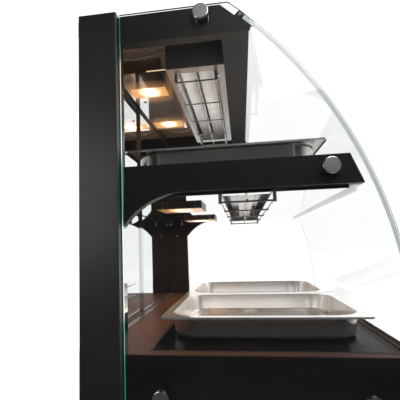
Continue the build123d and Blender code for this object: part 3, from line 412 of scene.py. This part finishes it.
def mirror_glass(name):
    """Glass silvered on the side of the food, with a speckled backing, and cut edges that glow with painted
    reflections.
    """
    paint = Paint(name, MIRROR_COLOUR, 0.0, 1.0)
    lean = paint.facing(1, 1.0)
    silver = paint.ramp(lean, 1.0, 0.0, 0.2, 0.3)
    backing = paint.ramp(lean, 0.0, 1.0, 0.7, 0.8)
    speckle = paint.mix(paint.noise(30.0, detail=5.0), BACKING_GREY, BACKING_PALE)
    paint.colour(silver, paint.mix(backing, EDGE_DARK, speckle), MIRROR_COLOUR)
    paint.drive("Metallic", silver)
    smears = paint.ramp(paint.noise(11.0, detail=5.0), 0.0, 0.012)
    paint.drive("Roughness", paint.math("ADD", paint.ramp(silver, 0.4, 0.0, 0.0, 1.0), smears))
    # The cut edges glow with painted reflections of what is round them at each height
    paint.drive("Emission Color", paint.bands(2, MIRROR_EDGE_PAINTED_REFLECTIONS))
    cut = paint.ramp(paint.math("ADD", silver, backing), 1.0, 0.0, 0.0, 1.0)
    paint.drive("Emission Strength", cut)
    paint.set("Specular IOR Level", 0.1)
    return paint


def brush_seal(name):
    """Fine black bristles that glow with painted reflections of the mirrors beside them."""
    paint = powder_coat(name, (0.003, 0.003, 0.003), 0.9, 3000.0, 0.02)
    paint.drive("Emission Color", paint.bands(2, MIRROR_EDGE_PAINTED_REFLECTIONS))
    paint.set("Emission Strength", 1.0)
    return paint


def hob_glass(name):
    """Black ceramic glass, wiped but not spotless."""
    paint = Paint(name, (0.0015, 0.0013, 0.0013), 0.2, Specular_IOR_Level=0.015)
    paint.rough(paint.noise(30.0, detail=6.0), 0.14, 0.26)
    return paint


def lamp_panel_steel(name):
    """Polished steel with a painted pool of warm light round each lamp, and painted shade that browns it
    towards its near end.
    """
    paint = brushed(name, PANEL_STEEL, 0.06, ALONG_CASE, 0.012)
    paint.set("Metallic", 0.9)
    # Painted shade and reflection: browner and darker towards the panel's near end
    paint.drive("Base Color", paint.bands(0, PANEL_PAINTED_SHADE))
    # Painted pool of warm light round each lamp, as emission
    paint.set("Emission Color", (*SPILL, 1.0))
    across = paint.math("SUBTRACT", paint.math("ABSOLUTE", paint.spot(0)), CANOPY_LAMP_X)
    along = paint.math("SUBTRACT", paint.spot(1), CANOPY_LAMP_Y)
    paint.drive("Emission Strength", paint.ramp(paint.distance(across, along), 0.35, 0.0, 0.02, 0.075))
    return paint


def pan_steel(name):
    """Drawn stainless steel, coloured bright inside and darker on the outer walls as painted shade."""
    paint = brushed(name, (0.9, 0.88, 0.86), 0.2, (0.3, 1.0, 0.3), 0.02, 500.0, 0.0002)
    paint.set("Metallic", 0.93)
    # Painted shade: the steel is coloured darker where it faces down, as on the outer walls
    inside = paint.facing(2, 0.04)
    paint.colour(inside, (0.42, 0.4, 0.38), (0.95, 0.93, 0.91))
    paint.rough(inside, 0.13, 0.19)
    return paint


def heater_ceramic(name):
    """Streaked white ceramic, with painted shade at the far end and a faint painted glow."""
    paint = Paint(name, (0.85, 0.85, 0.85), 0.3)
    streaks = paint.noise(40.0, (0.06, 1.0, 1.0), detail=3.0)
    streaked = paint.mix(paint.ramp(streaks, 0.0, 1.0), (0.55, 0.55, 0.55), WHITE)
    # Painted shade towards the far end, and the same tone used as a faint painted glow
    tone = paint.mix(paint.ramp(paint.spot(0), 0.0, 1.0, 0.0, 0.2), streaked, (0.04, 0.04, 0.04))
    paint.drive("Base Color", tone)
    paint.drive("Emission Color", tone)
    paint.set("Emission Strength", 0.1)
    paint.bump(paint.noise(500.0), 0.02 * MM, 0.3)
    return paint


def glowing(name, colour, roughness, strength, grain, first, second):
    """A small piece that glows of itself, a little unevenly."""
    paint = Paint(name, colour, roughness, Emission_Strength=strength)
    paint.drive("Emission Color", paint.mix(paint.noise(grain), first, second))
    return paint


# How streaks are drawn out: along the case, across it, further across it, or no way more than another
ALONG_CASE = (0.02, 1.0, 1.0)
ACROSS_CASE = (1.0, 0.1, 1.0)
FAR_ACROSS = (1.0, 0.05, 1.0)
EVERY_WAY = (1.0, 1.0, 1.0)

# Painted, moulded and soft finishes: colour, roughness, grain and gloss
COATS = {
    "cover_paint": ((0.015, 0.015, 0.015), 0.34, 1800.0, 0.45),
    "base_paint": ((0.0028, 0.0028, 0.0029), 0.2, 900.0, 0.15),
    "deck_steel": ((0.032, 0.016, 0.0115), 0.42, 1200.0, 0.045),
    "lamp_housing": ((0.035, 0.02, 0.017), 0.35, 1800.0, 0.5),
    "hinge_metal": ((0.008, 0.008, 0.008), 0.35, 1800.0, 0.5),
    "black_plastic": ((0.014, 0.014, 0.014), 0.38, 2500.0, 0.5),
    "control_plastic": ((0.3, 0.29, 0.26), 0.45, 1800.0, 0.5),
    "rubber": ((0.012, 0.012, 0.012), 0.75, 1200.0, 0.5),
    "mineral_wool": ((0.6, 0.56, 0.42), 0.95, 400.0, 0.5),
    "track_aluminium": ((0.03, 0.022, 0.02), 0.3, 1800.0, 0.5),
    "housing_paint": ((0.1, 0.098, 0.096), 0.4, 1800.0, 0.4),
    "lip_grey": ((0.6, 0.6, 0.6), 0.4, 1800.0, 0.5),
    "lead_silicone": ((0.32, 0.26, 0.21), 0.45, 1800.0, 0.5),
    "print_white": ((0.7, 0.7, 0.68), 0.5, 1800.0, 0.5),
    "seal_black": ((0.01, 0.01, 0.01), 0.5, 1800.0, 0.5),
}

# Rolled, brushed and polished metals: colour, roughness, run of the streaks and how much they show
METALS = {
    "polished_steel": ((0.74, 0.73, 0.74), 0.05, ALONG_CASE, 0.012),
    "underside_steel": (WHITE, 0.04, ALONG_CASE, 0.01),
    "reflector_steel": ((0.8, 0.8, 0.8), 0.09, ALONG_CASE, 0.03),
    "dark_reflector": ((0.16, 0.16, 0.16), 0.1, ALONG_CASE, 0.03),
    "surround_steel": ((0.42, 0.4, 0.385), 0.32, ALONG_CASE, 0.03),
    "rail_aluminium": ((0.62, 0.62, 0.63), 0.3, ALONG_CASE, 0.03),
    "tray_steel": ((0.5, 0.5, 0.5), 0.35, ACROSS_CASE, 0.03),
    "guard_wire": ((0.42, 0.41, 0.4), 0.18, EVERY_WAY, 0.03),
    "heater_metal": ((0.5, 0.5, 0.5), 0.4, (0.1, 1.0, 1.0), 0.03),
    "fixing_chrome": ((0.72, 0.72, 0.72), 0.12, EVERY_WAY, 0.03),
    "fixing_face": ((0.3, 0.3, 0.3), 0.35, FAR_ACROSS, 0.05),
    "lip_steel": ((0.9, 0.75, 0.55), 0.25, FAR_ACROSS, 0.03),
}


def make_materials():
    """One material for each finish of the record, and those of the added pieces."""
    made = {name: powder_coat(name, *values) for name, values in COATS.items()}
    made.update({name: brushed(name, *values) for name, values in METALS.items()})
    for name, build in (
        ("frame_paint", frame_coat),
        ("canopy_paint", canopy_coat),
        ("beam_paint", beam_coat),
        ("mirror_glass", mirror_glass),
        ("brush_seal", brush_seal),
        ("ceramic_glass", hob_glass),
        ("lamp_panel_steel", lamp_panel_steel),
        ("pan_steel", pan_steel),
        ("ceramic", heater_ceramic),
        ("end_glass_edge", end_edge),
    ):
        made[name] = build(name)
    made["polished_steel"].set("Metallic", 0.9)
    # Painted highlights: the lamp panel's lip glows warm and the shelf rail's lip glows white
    made["lip_steel"].glow((1.0, 0.78, 0.45), 0.75)
    made["lip_grey"].glow(WHITE, 0.42)
    made["clear_glass"] = clear_glass("clear_glass", GLASS_TINT, 1.45)
    made["front_clear"] = clear_glass("front_clear", FRONT_TINT, 1.15)
    made["front_glass_edge"] = glass_edge("front_glass_edge", (0.42, 0.45, 0.445), 0.33)
    made["canopy_window"] = lit_window("canopy_window", WINDOW_GLOW)
    made["shelf_window"] = lit_window("shelf_window", WINDOW_GLOW * 0.5)
    made["lamp_glass"] = glowing("lamp_glass", LAMP_CORE, 0.2, WINDOW_GLOW, 200.0, LAMP_CORE, LAMP_RIM)
    made["indicator_plastic"] = glowing(
        "indicator_plastic", (0.9, 0.4, 0.05), 0.2, 0.5, 300.0, (1.0, 0.45, 0.1), (0.9, 0.3, 0.03)
    )
    return {name: paint.material for name, paint in made.items()}


# Nodes whose finish is a shade of their slot's
SPECIAL = {
    "canopy_beam": "beam_paint",
    "canopy_heater_housing": "housing_paint",
    "canopy_roof": "canopy_paint",
    "canopy_heater_surround": "surround_steel",
    "lamp_panel": "lamp_panel_steel",
    "shelf_underside": "underside_steel",
    "front_glass": "front_clear",
    "shelf_reflector": "dark_reflector",
}


def dress_nodes():
    """Each carried-over node gets its slot's material or its own shade, and glass casts no shadow."""
    for part in frame["record"]["subparts"]:
        node = NODES[part["node"]]
        node.data.materials.clear()
        node.data.materials.append(MATERIALS[SPECIAL.get(part["node"], part["material_slot"])])
    for name in ("side_glass_left", "side_glass_right", "front_glass"):
        NODES[name].visible_shadow = False


def new_piece(name, mesh, material, body="case"):
    """A finished mesh as an object that rides on a body."""
    piece = bpy.data.objects.new(name, mesh)
    scene.collection.objects.link(piece)
    mesh.materials.append(MATERIALS[material])
    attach(piece, body)
    return piece


def lathe(bm, profile, origin, axis, steps=48):
    """Turn (radius, height) points about an axis that starts at origin; ends at radius 0 close up."""
    axis = Vector(axis).normalized()
    side = axis.orthogonal().normalized()
    other = axis.cross(side)
    rings = []
    for radius, height in profile:
        centre = Vector(origin) + axis * height
        if radius == 0:
            rings.append([bm.verts.new(centre)])
            continue
        ring = []
        for i in range(steps):
            turn = i * math.tau / steps
            ring.append(bm.verts.new(centre + (side * math.cos(turn) + other * math.sin(turn)) * radius))
        rings.append(ring)
    for low, high in zip(rings, rings[1:]):
        for i in range(steps):
            j = (i + 1) % steps
            corners = [low[i % len(low)], low[j % len(low)], high[j % len(high)], high[i % len(high)]]
            bm.faces.new(list(dict.fromkeys(corners)))


def block(bm, low, high, bevel=0.0):
    """A box between two corners, its edges rounded if a bevel is given."""
    low, high = Vector(low), Vector(high)
    made = bmesh.ops.create_cube(bm, size=1.0)
    bmesh.ops.scale(bm, vec=high - low, verts=made["verts"])
    bmesh.ops.translate(bm, vec=(high + low) / 2, verts=made["verts"])
    if bevel:
        edges = list({e for v in made["verts"] for e in v.link_edges})
        bmesh.ops.bevel(bm, geom=edges, offset=bevel, segments=2, affect="EDGES")


def finish_mesh(name, bm, smooth=True):
    """A mesh from a bmesh, its faces turned outwards; a smooth one keeps its sharp edges."""
    bmesh.ops.recalc_face_normals(bm, faces=bm.faces)
    mesh = bpy.data.meshes.new(name)
    bm.to_mesh(mesh)
    bm.free()
    for face in mesh.polygons:
        face.use_smooth = smooth
    if smooth:
        mesh.set_sharp_from_angle(angle=math.radians(35))
    return mesh


def lamps():
    """Each lamp: its level and side, its middle, the underside it shines from, its window and its power."""
    panel_low, panel_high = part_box("lamp_panel")
    canopy_y = (panel_low[1] + panel_high[1]) / 2
    shelf_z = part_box("lamp_windows")[0][2]
    for level, reach, y, z, window, power in (
        ("canopy", CANOPY_LAMP_X, canopy_y, panel_low[2], CANOPY_WINDOW, LAMP_POWER),
        ("shelf", SHELF_LAMP_X, SHELF_LAMP_Y, shelf_z, SHELF_WINDOW, SHELF_LAMP_POWER),
    ):
        for side, x in (("left", -reach), ("right", reach)):
            yield level, side, x, y, z, window, power


def add_lamp_windows():
    """Windows of the four lamps: softened plates that glow from their middle."""
    for level, side, x, y, z, size, _ in lamps():
        under = z + WINDOW_THICK if level == "canopy" else z
        half_x, half_y = size[0] / 2, size[1] / 2
        low = (x - half_x, y - half_y, under)
        high = (x + half_x, y + half_y, under + WINDOW_THICK)
        bm = bmesh.new()
        block(bm, low, high, WINDOW_THICK * 0.3)
        uv = bm.loops.layers.uv.new("window")
        for face in bm.faces:
            for loop in face.loops:
                loop[uv].uv = ((loop.vert.co.x - x) / size[0] + 0.5, (loop.vert.co.y - y) / size[1] + 0.5)
        name = f"{level}_lamp_window_{side}"
        piece = new_piece(name, finish_mesh(name, bm, False), f"{level}_window")
        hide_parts("lamp_windows")


def hidden_light(name, kind, place, power, colour):
    """A light that can't be seen itself, straight or through glass."""
    data = bpy.data.lights.new(name, kind)
    data.energy = power
    data.color = colour
    light = bpy.data.objects.new(name, data)
    light.location = place
    light.visible_camera = False
    light.visible_transmission = False
    scene.collection.objects.link(light)
    return light


def add_lamp_light():
    """Warm light below each lamp window, and a little more that spills from under it."""
    for level, side, x, y, z, size, power in lamps():
        name = f"{level}_light_{side}"
        light = hidden_light(name, "AREA", (x, y, z - LIGHT_DROP), power, WARM)
        light.data.shape = "RECTANGLE"
        light.data.size, light.data.size_y = size[0] * LIT_SHARE, size[1] * LIT_SHARE
        light.visible_glossy = False
        spill = hidden_light(f"{name}_spill", "POINT", (x, y, z - SPILL_DROP), LAMP_SPILL, SPILL)
        spill.data.shadow_soft_size = SPILL_SIZE
        spill.visible_glossy = False


def edge_skin(name, node, keep, material, body):
    """The cut edges of a glass node, as a skin just inside them."""
    source = NODES[node].data
    bm = bmesh.new()
    bm.from_mesh(source)
    drop = [face for face in bm.faces if not keep(face.normal)]
    bmesh.ops.delete(bm, geom=drop, context="FACES")
    for vert in bm.verts:
        vert.co -= vert.normal * SKIN_INSET
    mesh = bpy.data.meshes.new(name)
    bm.to_mesh(mesh)
    bm.free()
    return new_piece(name, mesh, material, body)


def add_glass_edges():
    """The rear edge of each end glass, and both ends of the front glass."""
    for side in ("left", "right"):
        name = f"end_glass_edge_{side}"
        edge_skin(name, f"side_glass_{side}", lambda n: n.y > 0.9, "end_glass_edge", "case")
    name = "front_glass_ends"
    edge_skin(name, "front_glass", lambda n: abs(n.x) > 0.9, "front_glass_edge", "front_glass")


def islands(node):
    """The boxes of a node's separate pieces, in a settled order."""
    bm = bmesh.new()
    bm.from_mesh(NODES[node].data)
    bmesh.ops.remove_doubles(bm, verts=bm.verts, dist=0.001 * MM)
    boxes = []
    left = set(bm.verts)
    while left:
        group, queue = [], [left.pop()]
        while queue:
            vert = queue.pop()
            group.append(vert.co.copy())
            for edge in vert.link_edges:
                other = edge.other_vert(vert)
                if other in left:
                    left.remove(other)
                    queue.append(other)
        low = Vector(min(v[i] for v in group) for i in range(3))
        high = Vector(max(v[i] for v in group) for i in range(3))
        boxes.append((low, high))
    bm.free()
    boxes.sort(key=lambda pair: tuple(round(c, 4) for c in (pair[0] + pair[1])))
    return boxes


def add_fixings():
    """Turned fixings of the end glass: a chrome barrel with a brushed face let into a fine rim."""
    glass_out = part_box("side_glass_right")[1][0]
    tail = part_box("end_frame_right")[1][0] - FIXING_TAIL
    top = glass_out + FIXING_HEIGHT
    for number, (low, high) in enumerate(islands("glass_washers"), 1):
        place = (low + high) / 2
        side = 1 if place.x > 0 else -1
        start = (0.0, place.y, place.z)
        axis = (side, 0, 0)
        bm = bmesh.new()
        lathe(bm, [
            (0, tail),
            (FIXING_SHANK, tail),
            (FIXING_SHANK, glass_out),
            (FIXING_RADIUS - 0.6 * MM, glass_out),
            (FIXING_RADIUS - 0.6 * MM, glass_out + 1.0 * MM),
            (FIXING_RADIUS, glass_out + 1.4 * MM),
            (FIXING_RADIUS, top - 1.0 * MM),
            (FIXING_RADIUS - 0.3 * MM, top - 0.3 * MM),
            (FIXING_RADIUS - 1.0 * MM, top),
            (FIXING_RADIUS - FIXING_RIM, top),
            (FIXING_RADIUS - FIXING_RIM - 0.2 * MM, top - FIXING_DISH),
            (0, top - FIXING_DISH * 1.2),
        ], start, axis)
        name = f"glass_fixing_{number}"
        piece = new_piece(name, finish_mesh(name, bm), "fixing_chrome")
        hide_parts("glass_fixings")
        bm = bmesh.new()
        lathe(bm, [
            (FIXING_RADIUS - FIXING_RIM - 0.25 * MM, top - FIXING_DISH * 1.1),
            (FIXING_RADIUS - FIXING_RIM - 0.3 * MM, top - FIXING_DISH + 0.05 * MM),
            (0, top - FIXING_DISH + 0.12 * MM),
        ], start, axis)
        name = f"glass_fixing_face_{number}"
        new_piece(name, finish_mesh(name, bm), "fixing_face")


def screw_head(bm, place, axis, radius, height):
    """A domed screw head with a socket in it, standing on a place."""
    lathe(bm, [
        (0, 0.0),
        (radius, 0.0),
        (radius, height * 0.45),
        (radius * 0.86, height * 0.85),
        (radius * 0.55, height),
        (radius * 0.45, height),
        (radius * 0.42, height * 0.4),
        (0, height * 0.3),
    ], place, axis, 24)


def add_screws():
    """Domed heads for the screws of the case, and those that hold the shelf's lamp boxes."""
    bm = bmesh.new()
    for low, high in islands("screws"):
        middle, size = (low + high) / 2, high - low
        if size.x < size.z:
            side = 1 if middle.x > 0 else -1
            start = Vector((high.x if side > 0 else low.x, middle.y, middle.z))
            screw_head(bm, start, (-side, 0, 0), size.y / 2, size.x)
        else:
            screw_head(bm, Vector((middle.x, middle.y, high.z)), (0, 0, -1), size.x / 2, size.z)
    piece = new_piece("case_screws", finish_mesh("case_screws", bm), "fixing_chrome")
    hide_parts("screws")
    tray_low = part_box("lamp_trays")[0]
    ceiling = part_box("shelf_underside")[0][2]
    half_x, half_y = SHELF_BOX[0] / 2, SHELF_BOX[1] / 2
    bm = bmesh.new()
    for lamp in (-SHELF_LAMP_X, SHELF_LAMP_X):
        for side in (-1, 1):
            for edge in (-1, 1):
                place = (
                    lamp + side * half_x,
                    SHELF_LAMP_Y + edge * (half_y - TRAY_SCREW_INSET),
                    (tray_low[2] + ceiling) / 2,
                )
                screw_head(bm, place, (side, 0, 0), TRAY_SCREW, TRAY_SCREW * 0.6)
    new_piece("lamp_box_screws", finish_mesh("lamp_box_screws", bm), "fixing_chrome")


def add_plate_seal():
    """A soft black bead that seals the hot plate into the deck."""
    low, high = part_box("hot_plate")
    top = high[2]
    bm = bmesh.new()
    under, over = top - SEAL / 2, top + SEAL / 3
    for edge_y, edge_x in ((low[1], low[0]), (high[1], high[0])):
        start, end = (low[0] - SEAL, edge_y - SEAL / 2, under), (high[0] + SEAL, edge_y + SEAL / 2, over)
        block(bm, start, end, SEAL / 4)
        start, end = (edge_x - SEAL / 2, low[1] - SEAL, under), (edge_x + SEAL / 2, high[1] + SEAL, over)
        block(bm, start, end, SEAL / 4)
    new_piece("hot_plate_seal", finish_mesh("hot_plate_seal", bm), "seal_black")


def spoke(bm, size, reach, turn, middle):
    """A small box that stands off a middle, turned about an axis along Y."""
    verts = bmesh.ops.create_cube(bm, size=1.0)["verts"]
    bmesh.ops.scale(bm, vec=size, verts=verts)
    bmesh.ops.translate(bm, vec=(reach, 0, 0), verts=verts)
    bmesh.ops.rotate(bm, cent=(0, 0, 0), matrix=Matrix.Rotation(turn, 3, "Y"), verts=verts)
    bmesh.ops.translate(bm, vec=middle, verts=verts)


def add_panel_marks():
    """Graduations round the thermostat knobs, longer at every fifth, and ribs on their grips."""
    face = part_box("control_panel")[1][1]
    marks = bmesh.new()
    for number in (1, 2, 3):
        name = f"thermostat_knob_{number}"
        low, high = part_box(name)
        x, z = (low[0] + high[0]) / 2, (low[2] + high[2]) / 2
        reach = (high[0] - low[0]) / 2 + 4 * MM
        for i in range(11):
            size = ((2.5 if i % 5 else 4.0) * MM, PRINT, (0.5 + 0.06 * i) * MM)
            spoke(marks, size, reach, math.radians(90 - 27 * i), (x, face, z))
        ribs = bmesh.new()
        size = (KNOB_RIB, high[1] - low[1] - 8 * MM, KNOB_RIB)
        middle = (x, (low[1] + high[1]) / 2 + 1.5 * MM, z)
        for i in range(30):
            spoke(ribs, size, KNOB_GRIP, i * math.tau / 30, middle)
        rib_name = f"knob_ribs_{number}"
        new_piece(rib_name, finish_mesh(rib_name, ribs, False), "black_plastic", name)
    new_piece("panel_marks", finish_mesh("panel_marks", marks, False), "print_white")


def add_rocker_marks():
    """A bar for on and a ring for off, laid on the face of each rocker."""
    for number in (1, 2):
        name = f"rocker_switch_{number}"
        low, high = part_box(name)
        x, z, tall = (low[0] + high[0]) / 2, (low[2] + high[2]) / 2, high[2] - low[2]
        shape = NODES[name].data
        points = [v.co for v in shape.vertices]
        surface = BVHTree.FromPolygons(points, [tuple(f.vertices) for f in shape.polygons])
        bm = bmesh.new()
        bar = [(-0.5, -2.6), (0.5, -2.6), (0.5, 2.6), (-0.5, 2.6)]
        bm.faces.new([bm.verts.new((x + u * MM, 0, z + tall * 0.27 + w * MM)) for u, w in bar])
        rings = []
        for radius in (2.8, 2.0):
            ring = []
            for i in range(24):
                turn = i * math.tau / 24
                across, up = radius * math.cos(turn) * MM, radius * math.sin(turn) * MM
                ring.append(bm.verts.new((x + across, 0, z - tall * 0.27 + up)))
            rings.append(ring)
        for i in range(24):
            j = (i + 1) % 24
            bm.faces.new([rings[0][i], rings[0][j], rings[1][j], rings[1][i]])
        for vert in bm.verts:
            hit = surface.ray_cast(Vector((vert.co.x, high[1] + 0.02, vert.co.z)), Vector((0, -1, 0)))[0]
            vert.co.y = hit.y + PRINT
        bmesh.ops.solidify(bm, geom=bm.faces[:], thickness=PRINT)
        mark = f"rocker_marks_{number}"
        new_piece(mark, finish_mesh(mark, bm, False), "print_white", name)


def tube(bm, points, radius, steps=10):
    """A round wire through points, its rings square to it."""
    rings = []
    for i, point in enumerate(points):
        before, after = points[max(i - 1, 0)], points[min(i + 1, len(points) - 1)]
        run = (Vector(after) - Vector(before)).normalized()
        side = run.cross(Vector((0, 0, 1))).normalized()
        up = side.cross(run)
        ring = []
        for j in range(steps):
            turn = j * math.tau / steps
            ring.append(bm.verts.new(Vector(point) + (side * math.cos(turn) + up * math.sin(turn)) * radius))
        rings.append(ring)
    for low, high in zip(rings, rings[1:]):
        for j in range(steps):
            k = (j + 1) % steps
            bm.faces.new([low[j], low[k], high[k], high[j]])
    bm.faces.new(rings[0])
    bm.faces.new(rings[-1])


def add_lamp_wires():
    """The lamp leads that hang a little under the roof at each end of the lamp panel."""
    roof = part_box("canopy_roof")[0][2]
    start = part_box("lamp_panel")[1][1] - 18 * MM
    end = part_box("canopy_heater_housing")[1][1] - 4 * MM
    bm = bmesh.new()
    for side in (-1, 1):
        points = []
        for i in range(25):
            t = i / 24
            hang = math.sin(math.pi * min(1.0, t * 1.25)) ** 0.8 if t < 0.8 else 0.0
            x = side * (LEAD_X + LEAD_SWAY * math.sin(3.1 * t))
            points.append((x, start + (end - start) * t, roof - LEAD_GAP - LEAD_SAG * hang))
        tube(bm, points, LEAD)
    new_piece("lamp_leads", finish_mesh("lamp_leads", bm), "lead_silicone")


def add_door_seal():
    """The brush strip on the inner door that closes the gap between the two."""
    low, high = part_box("door_right")
    gap_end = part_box("door_left")[0].y
    touch, end = 0.1 * MM, 4 * MM
    start = (low.x + 1 * MM, high.y - touch, low.z + end)
    bm = bmesh.new()
    block(bm, start, (low.x + 6 * MM, gap_end - touch, high.z - end))
    mesh = finish_mesh("door_brush_seal", bm, False)
    new_piece("door_brush_seal", mesh, "brush_seal", "door_right")


def add_mirror_returns():
    """Mirror strips on the front of each column, between the deck and the shelf arm's gusset."""
    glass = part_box("side_glass_left")[1]
    front = glass.y + 0.4 * MM
    inner = abs(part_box("door_left")[0].x + RETURN_INSET)
    outer = abs(glass.x + 2 * MM)
    for side, ends in (("left", (-outer, -inner)), ("right", (inner, outer))):
        bm = bmesh.new()
        block(bm, (ends[0], front, DECK_TOP + 2 * MM), (ends[1], front + RETURN_THICK, RETURN_TOP))
        name = f"mirror_return_{side}"
        new_piece(name, finish_mesh(name, bm, False), "mirror_glass")


def add_panel_lip():
    """The rolled lip at the near end of the lamp panel, with a painted warm highlight where the lamp's light
    falls.
    """
    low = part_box("lamp_panel")[0]
    x, start, z = low.x - 1.2 * MM, low.y - LIP_START, low.z + 1.5 * MM
    bm = bmesh.new()
    tube(bm, [(x, start + i * LIP_LENGTH / 12, z) for i in range(13)], LIP_RADIUS)
    new_piece("lamp_panel_lip", finish_mesh("lamp_panel_lip", bm), "lip_steel")


def add_shelf_lip():
    """The pale return lip that hangs under the shelf's front rail, with a painted glow."""
    low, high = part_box("shelf_front_rail")
    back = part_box("shelf_underside")[0].y
    middle = (max(low.y, back - RAIL_LIP_REACH) + back) / 2
    start = (low.x + 1 * MM, middle - RAIL_LIP_THICK / 2, SHELF_BOTTOM - RAIL_LIP_DROP)
    end = (high.x - 1 * MM, middle + RAIL_LIP_THICK / 2, SHELF_BOTTOM - 0.2 * MM)
    bm = bmesh.new()
    block(bm, start, end, 0.6 * MM)
    mesh = finish_mesh("shelf_front_lip", bm, False)
    new_piece("shelf_front_lip", mesh, "lip_grey")


def add_guard_nuts():
    """Round nuts and washers at the corners of the canopy heater's guard."""
    low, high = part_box("canopy_heater_guard")
    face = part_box("canopy_heater_surround")[0][2]
    outline = [(radius * MM, height * MM) for radius, height in NUT_OUTLINE]
    bm = bmesh.new()
    for x in (low.x + NUT_INSET, high.x - NUT_INSET):
        for y in (low.y + NUT_SIDE, high.y - NUT_SIDE):
            lathe(bm, outline, (x, y, face), (0, 0, -1), 20)
    new_piece("guard_nuts", finish_mesh("guard_nuts", bm), "fixing_chrome")


def make_world():
    """White where it is seen straight on or through glass, dimmer from the near end in what it lights."""
    world = bpy.data.worlds.new("world")
    world.use_nodes = True
    tree = world.node_tree
    background = tree.nodes["Background"]
    background.inputs["Color"].default_value = (*WHITE, 1.0)
    coordinates = tree.nodes.new("ShaderNodeTexCoord")
    strength = seen_or(tree, light_from(tree, coordinates.outputs["Generated"]), SEEN_WHITE)
    tree.links.new(strength, background.inputs["Strength"])
    scene.world = world


def light_from(tree, direction):
    """How bright the surround is in a direction: dim from the near end, bright from the far one."""
    unit = tree.nodes.new("ShaderNodeVectorMath")
    unit.operation = "NORMALIZE"
    tree.links.new(direction, unit.inputs[0])
    split = tree.nodes.new("ShaderNodeSeparateXYZ")
    tree.links.new(unit.outputs["Vector"], split.inputs["Vector"])
    along = tree.nodes.new("ShaderNodeMapRange")
    along.interpolation_type = "SMOOTHSTEP"
    for socket, value in (
        ("From Min", LIGHT_FROM), ("From Max", LIGHT_TO), ("To Min", NEAR_LIGHT), ("To Max", FAR_LIGHT),
    ):
        along.inputs[socket].default_value = value
    tree.links.new(split.outputs["X"], along.inputs["Value"])
    return along.outputs["Result"]


def seen_or(tree, lighting, seen_value):
    """A number that differs for what is looked at, straight or through glass, and for what only lights."""
    path = tree.nodes.new("ShaderNodeLightPath")
    bounces = tree.nodes.new("ShaderNodeMath")
    tree.links.new(path.outputs["Glossy Depth"], bounces.inputs[0])
    tree.links.new(path.outputs["Diffuse Depth"], bounces.inputs[1])
    strength = tree.nodes.new("ShaderNodeMix")
    tree.links.new(bounces.outputs["Value"], strength.inputs["Factor"])
    strength.inputs["A"].default_value = seen_value
    tree.links.new(lighting, strength.inputs["B"])
    return strength.outputs["Result"]


def make_floor():
    """A pale round floor, lit from the far end, that meets the white surround without a line."""
    mesh = bpy.data.meshes.new("floor")
    steps = 96
    ring = []
    for i in range(steps):
        turn = i * math.tau / steps
        ring.append((FLOOR_REACH * math.cos(turn), FLOOR_REACH * math.sin(turn), 0.0))
    mesh.from_pydata(ring, [], [tuple(range(steps))])
    floor = bpy.data.objects.new("floor", mesh)
    scene.collection.objects.link(floor)
    paint = Paint("floor", (FLOOR_TONE, FLOOR_TONE, FLOOR_TONE), 0.9, Specular_IOR_Level=0.0)
    shade = paint.node("ShaderNodeCombineColor")
    for channel in ("Red", "Green", "Blue"):
        seen = seen_or(paint.tree, paint.ramp(paint.noise(3.0), 0.0, FLOOR_CAST), FLOOR_TONE)
        paint.link(seen, shade.inputs[channel])
    paint.drive("Base Color", shade.outputs["Color"])
    paint.set("Emission Color", (*WHITE, 1.0))
    lift = paint.node("ShaderNodeVectorMath", operation="ADD")
    lift.inputs[1].default_value = (0.0, 0.0, FLOOR_LIFT)
    paint.link(paint.place(), lift.inputs[0])
    along = light_from(paint.tree, lift.outputs["Vector"])
    paint.drive("Emission Strength", seen_or(paint.tree, along, FLOOR_SEEN))
    floor.data.materials.append(paint.material)


def area_light(name, place, aim, size, power):
    """A soft white studio light turned towards a point."""
    light = hidden_light(name, "AREA", place, power, WHITE)
    light.data.size = size
    light.rotation_euler = (Vector(aim) - Vector(place)).to_track_quat("-Z", "Y").to_euler()


def make_stage():
    """The surround, the floor and the studio lights."""
    scene.view_settings.view_transform = "Standard"
    make_world()
    make_floor()
    area_light("key", (-1.45, 0.78, 0.6), (-0.41, 0.2, 0.42), 0.6, 2.6)
    area_light("brow", (-1.7, -0.5, 1.5), (-0.4, 0.0, 0.7), 0.8, 10.0)
    area_light("front", (0.2, -2.2, 0.9), (-0.1, 0.0, 0.35), 1.5, 70.0)
    area_light("top", (0.3, -0.3, 2.4), (0.0, 0.0, 0.4), 1.6, 8.0)


make_camera()
MATERIALS = make_materials()
dress_nodes()
add_lamp_windows()
add_lamp_light()
add_glass_edges()
add_fixings()
add_screws()
add_plate_seal()
add_panel_marks()
add_rocker_marks()
add_lamp_wires()
add_guard_nuts()
add_door_seal()
add_mirror_returns()
add_panel_lip()
add_shelf_lip()
make_stage()
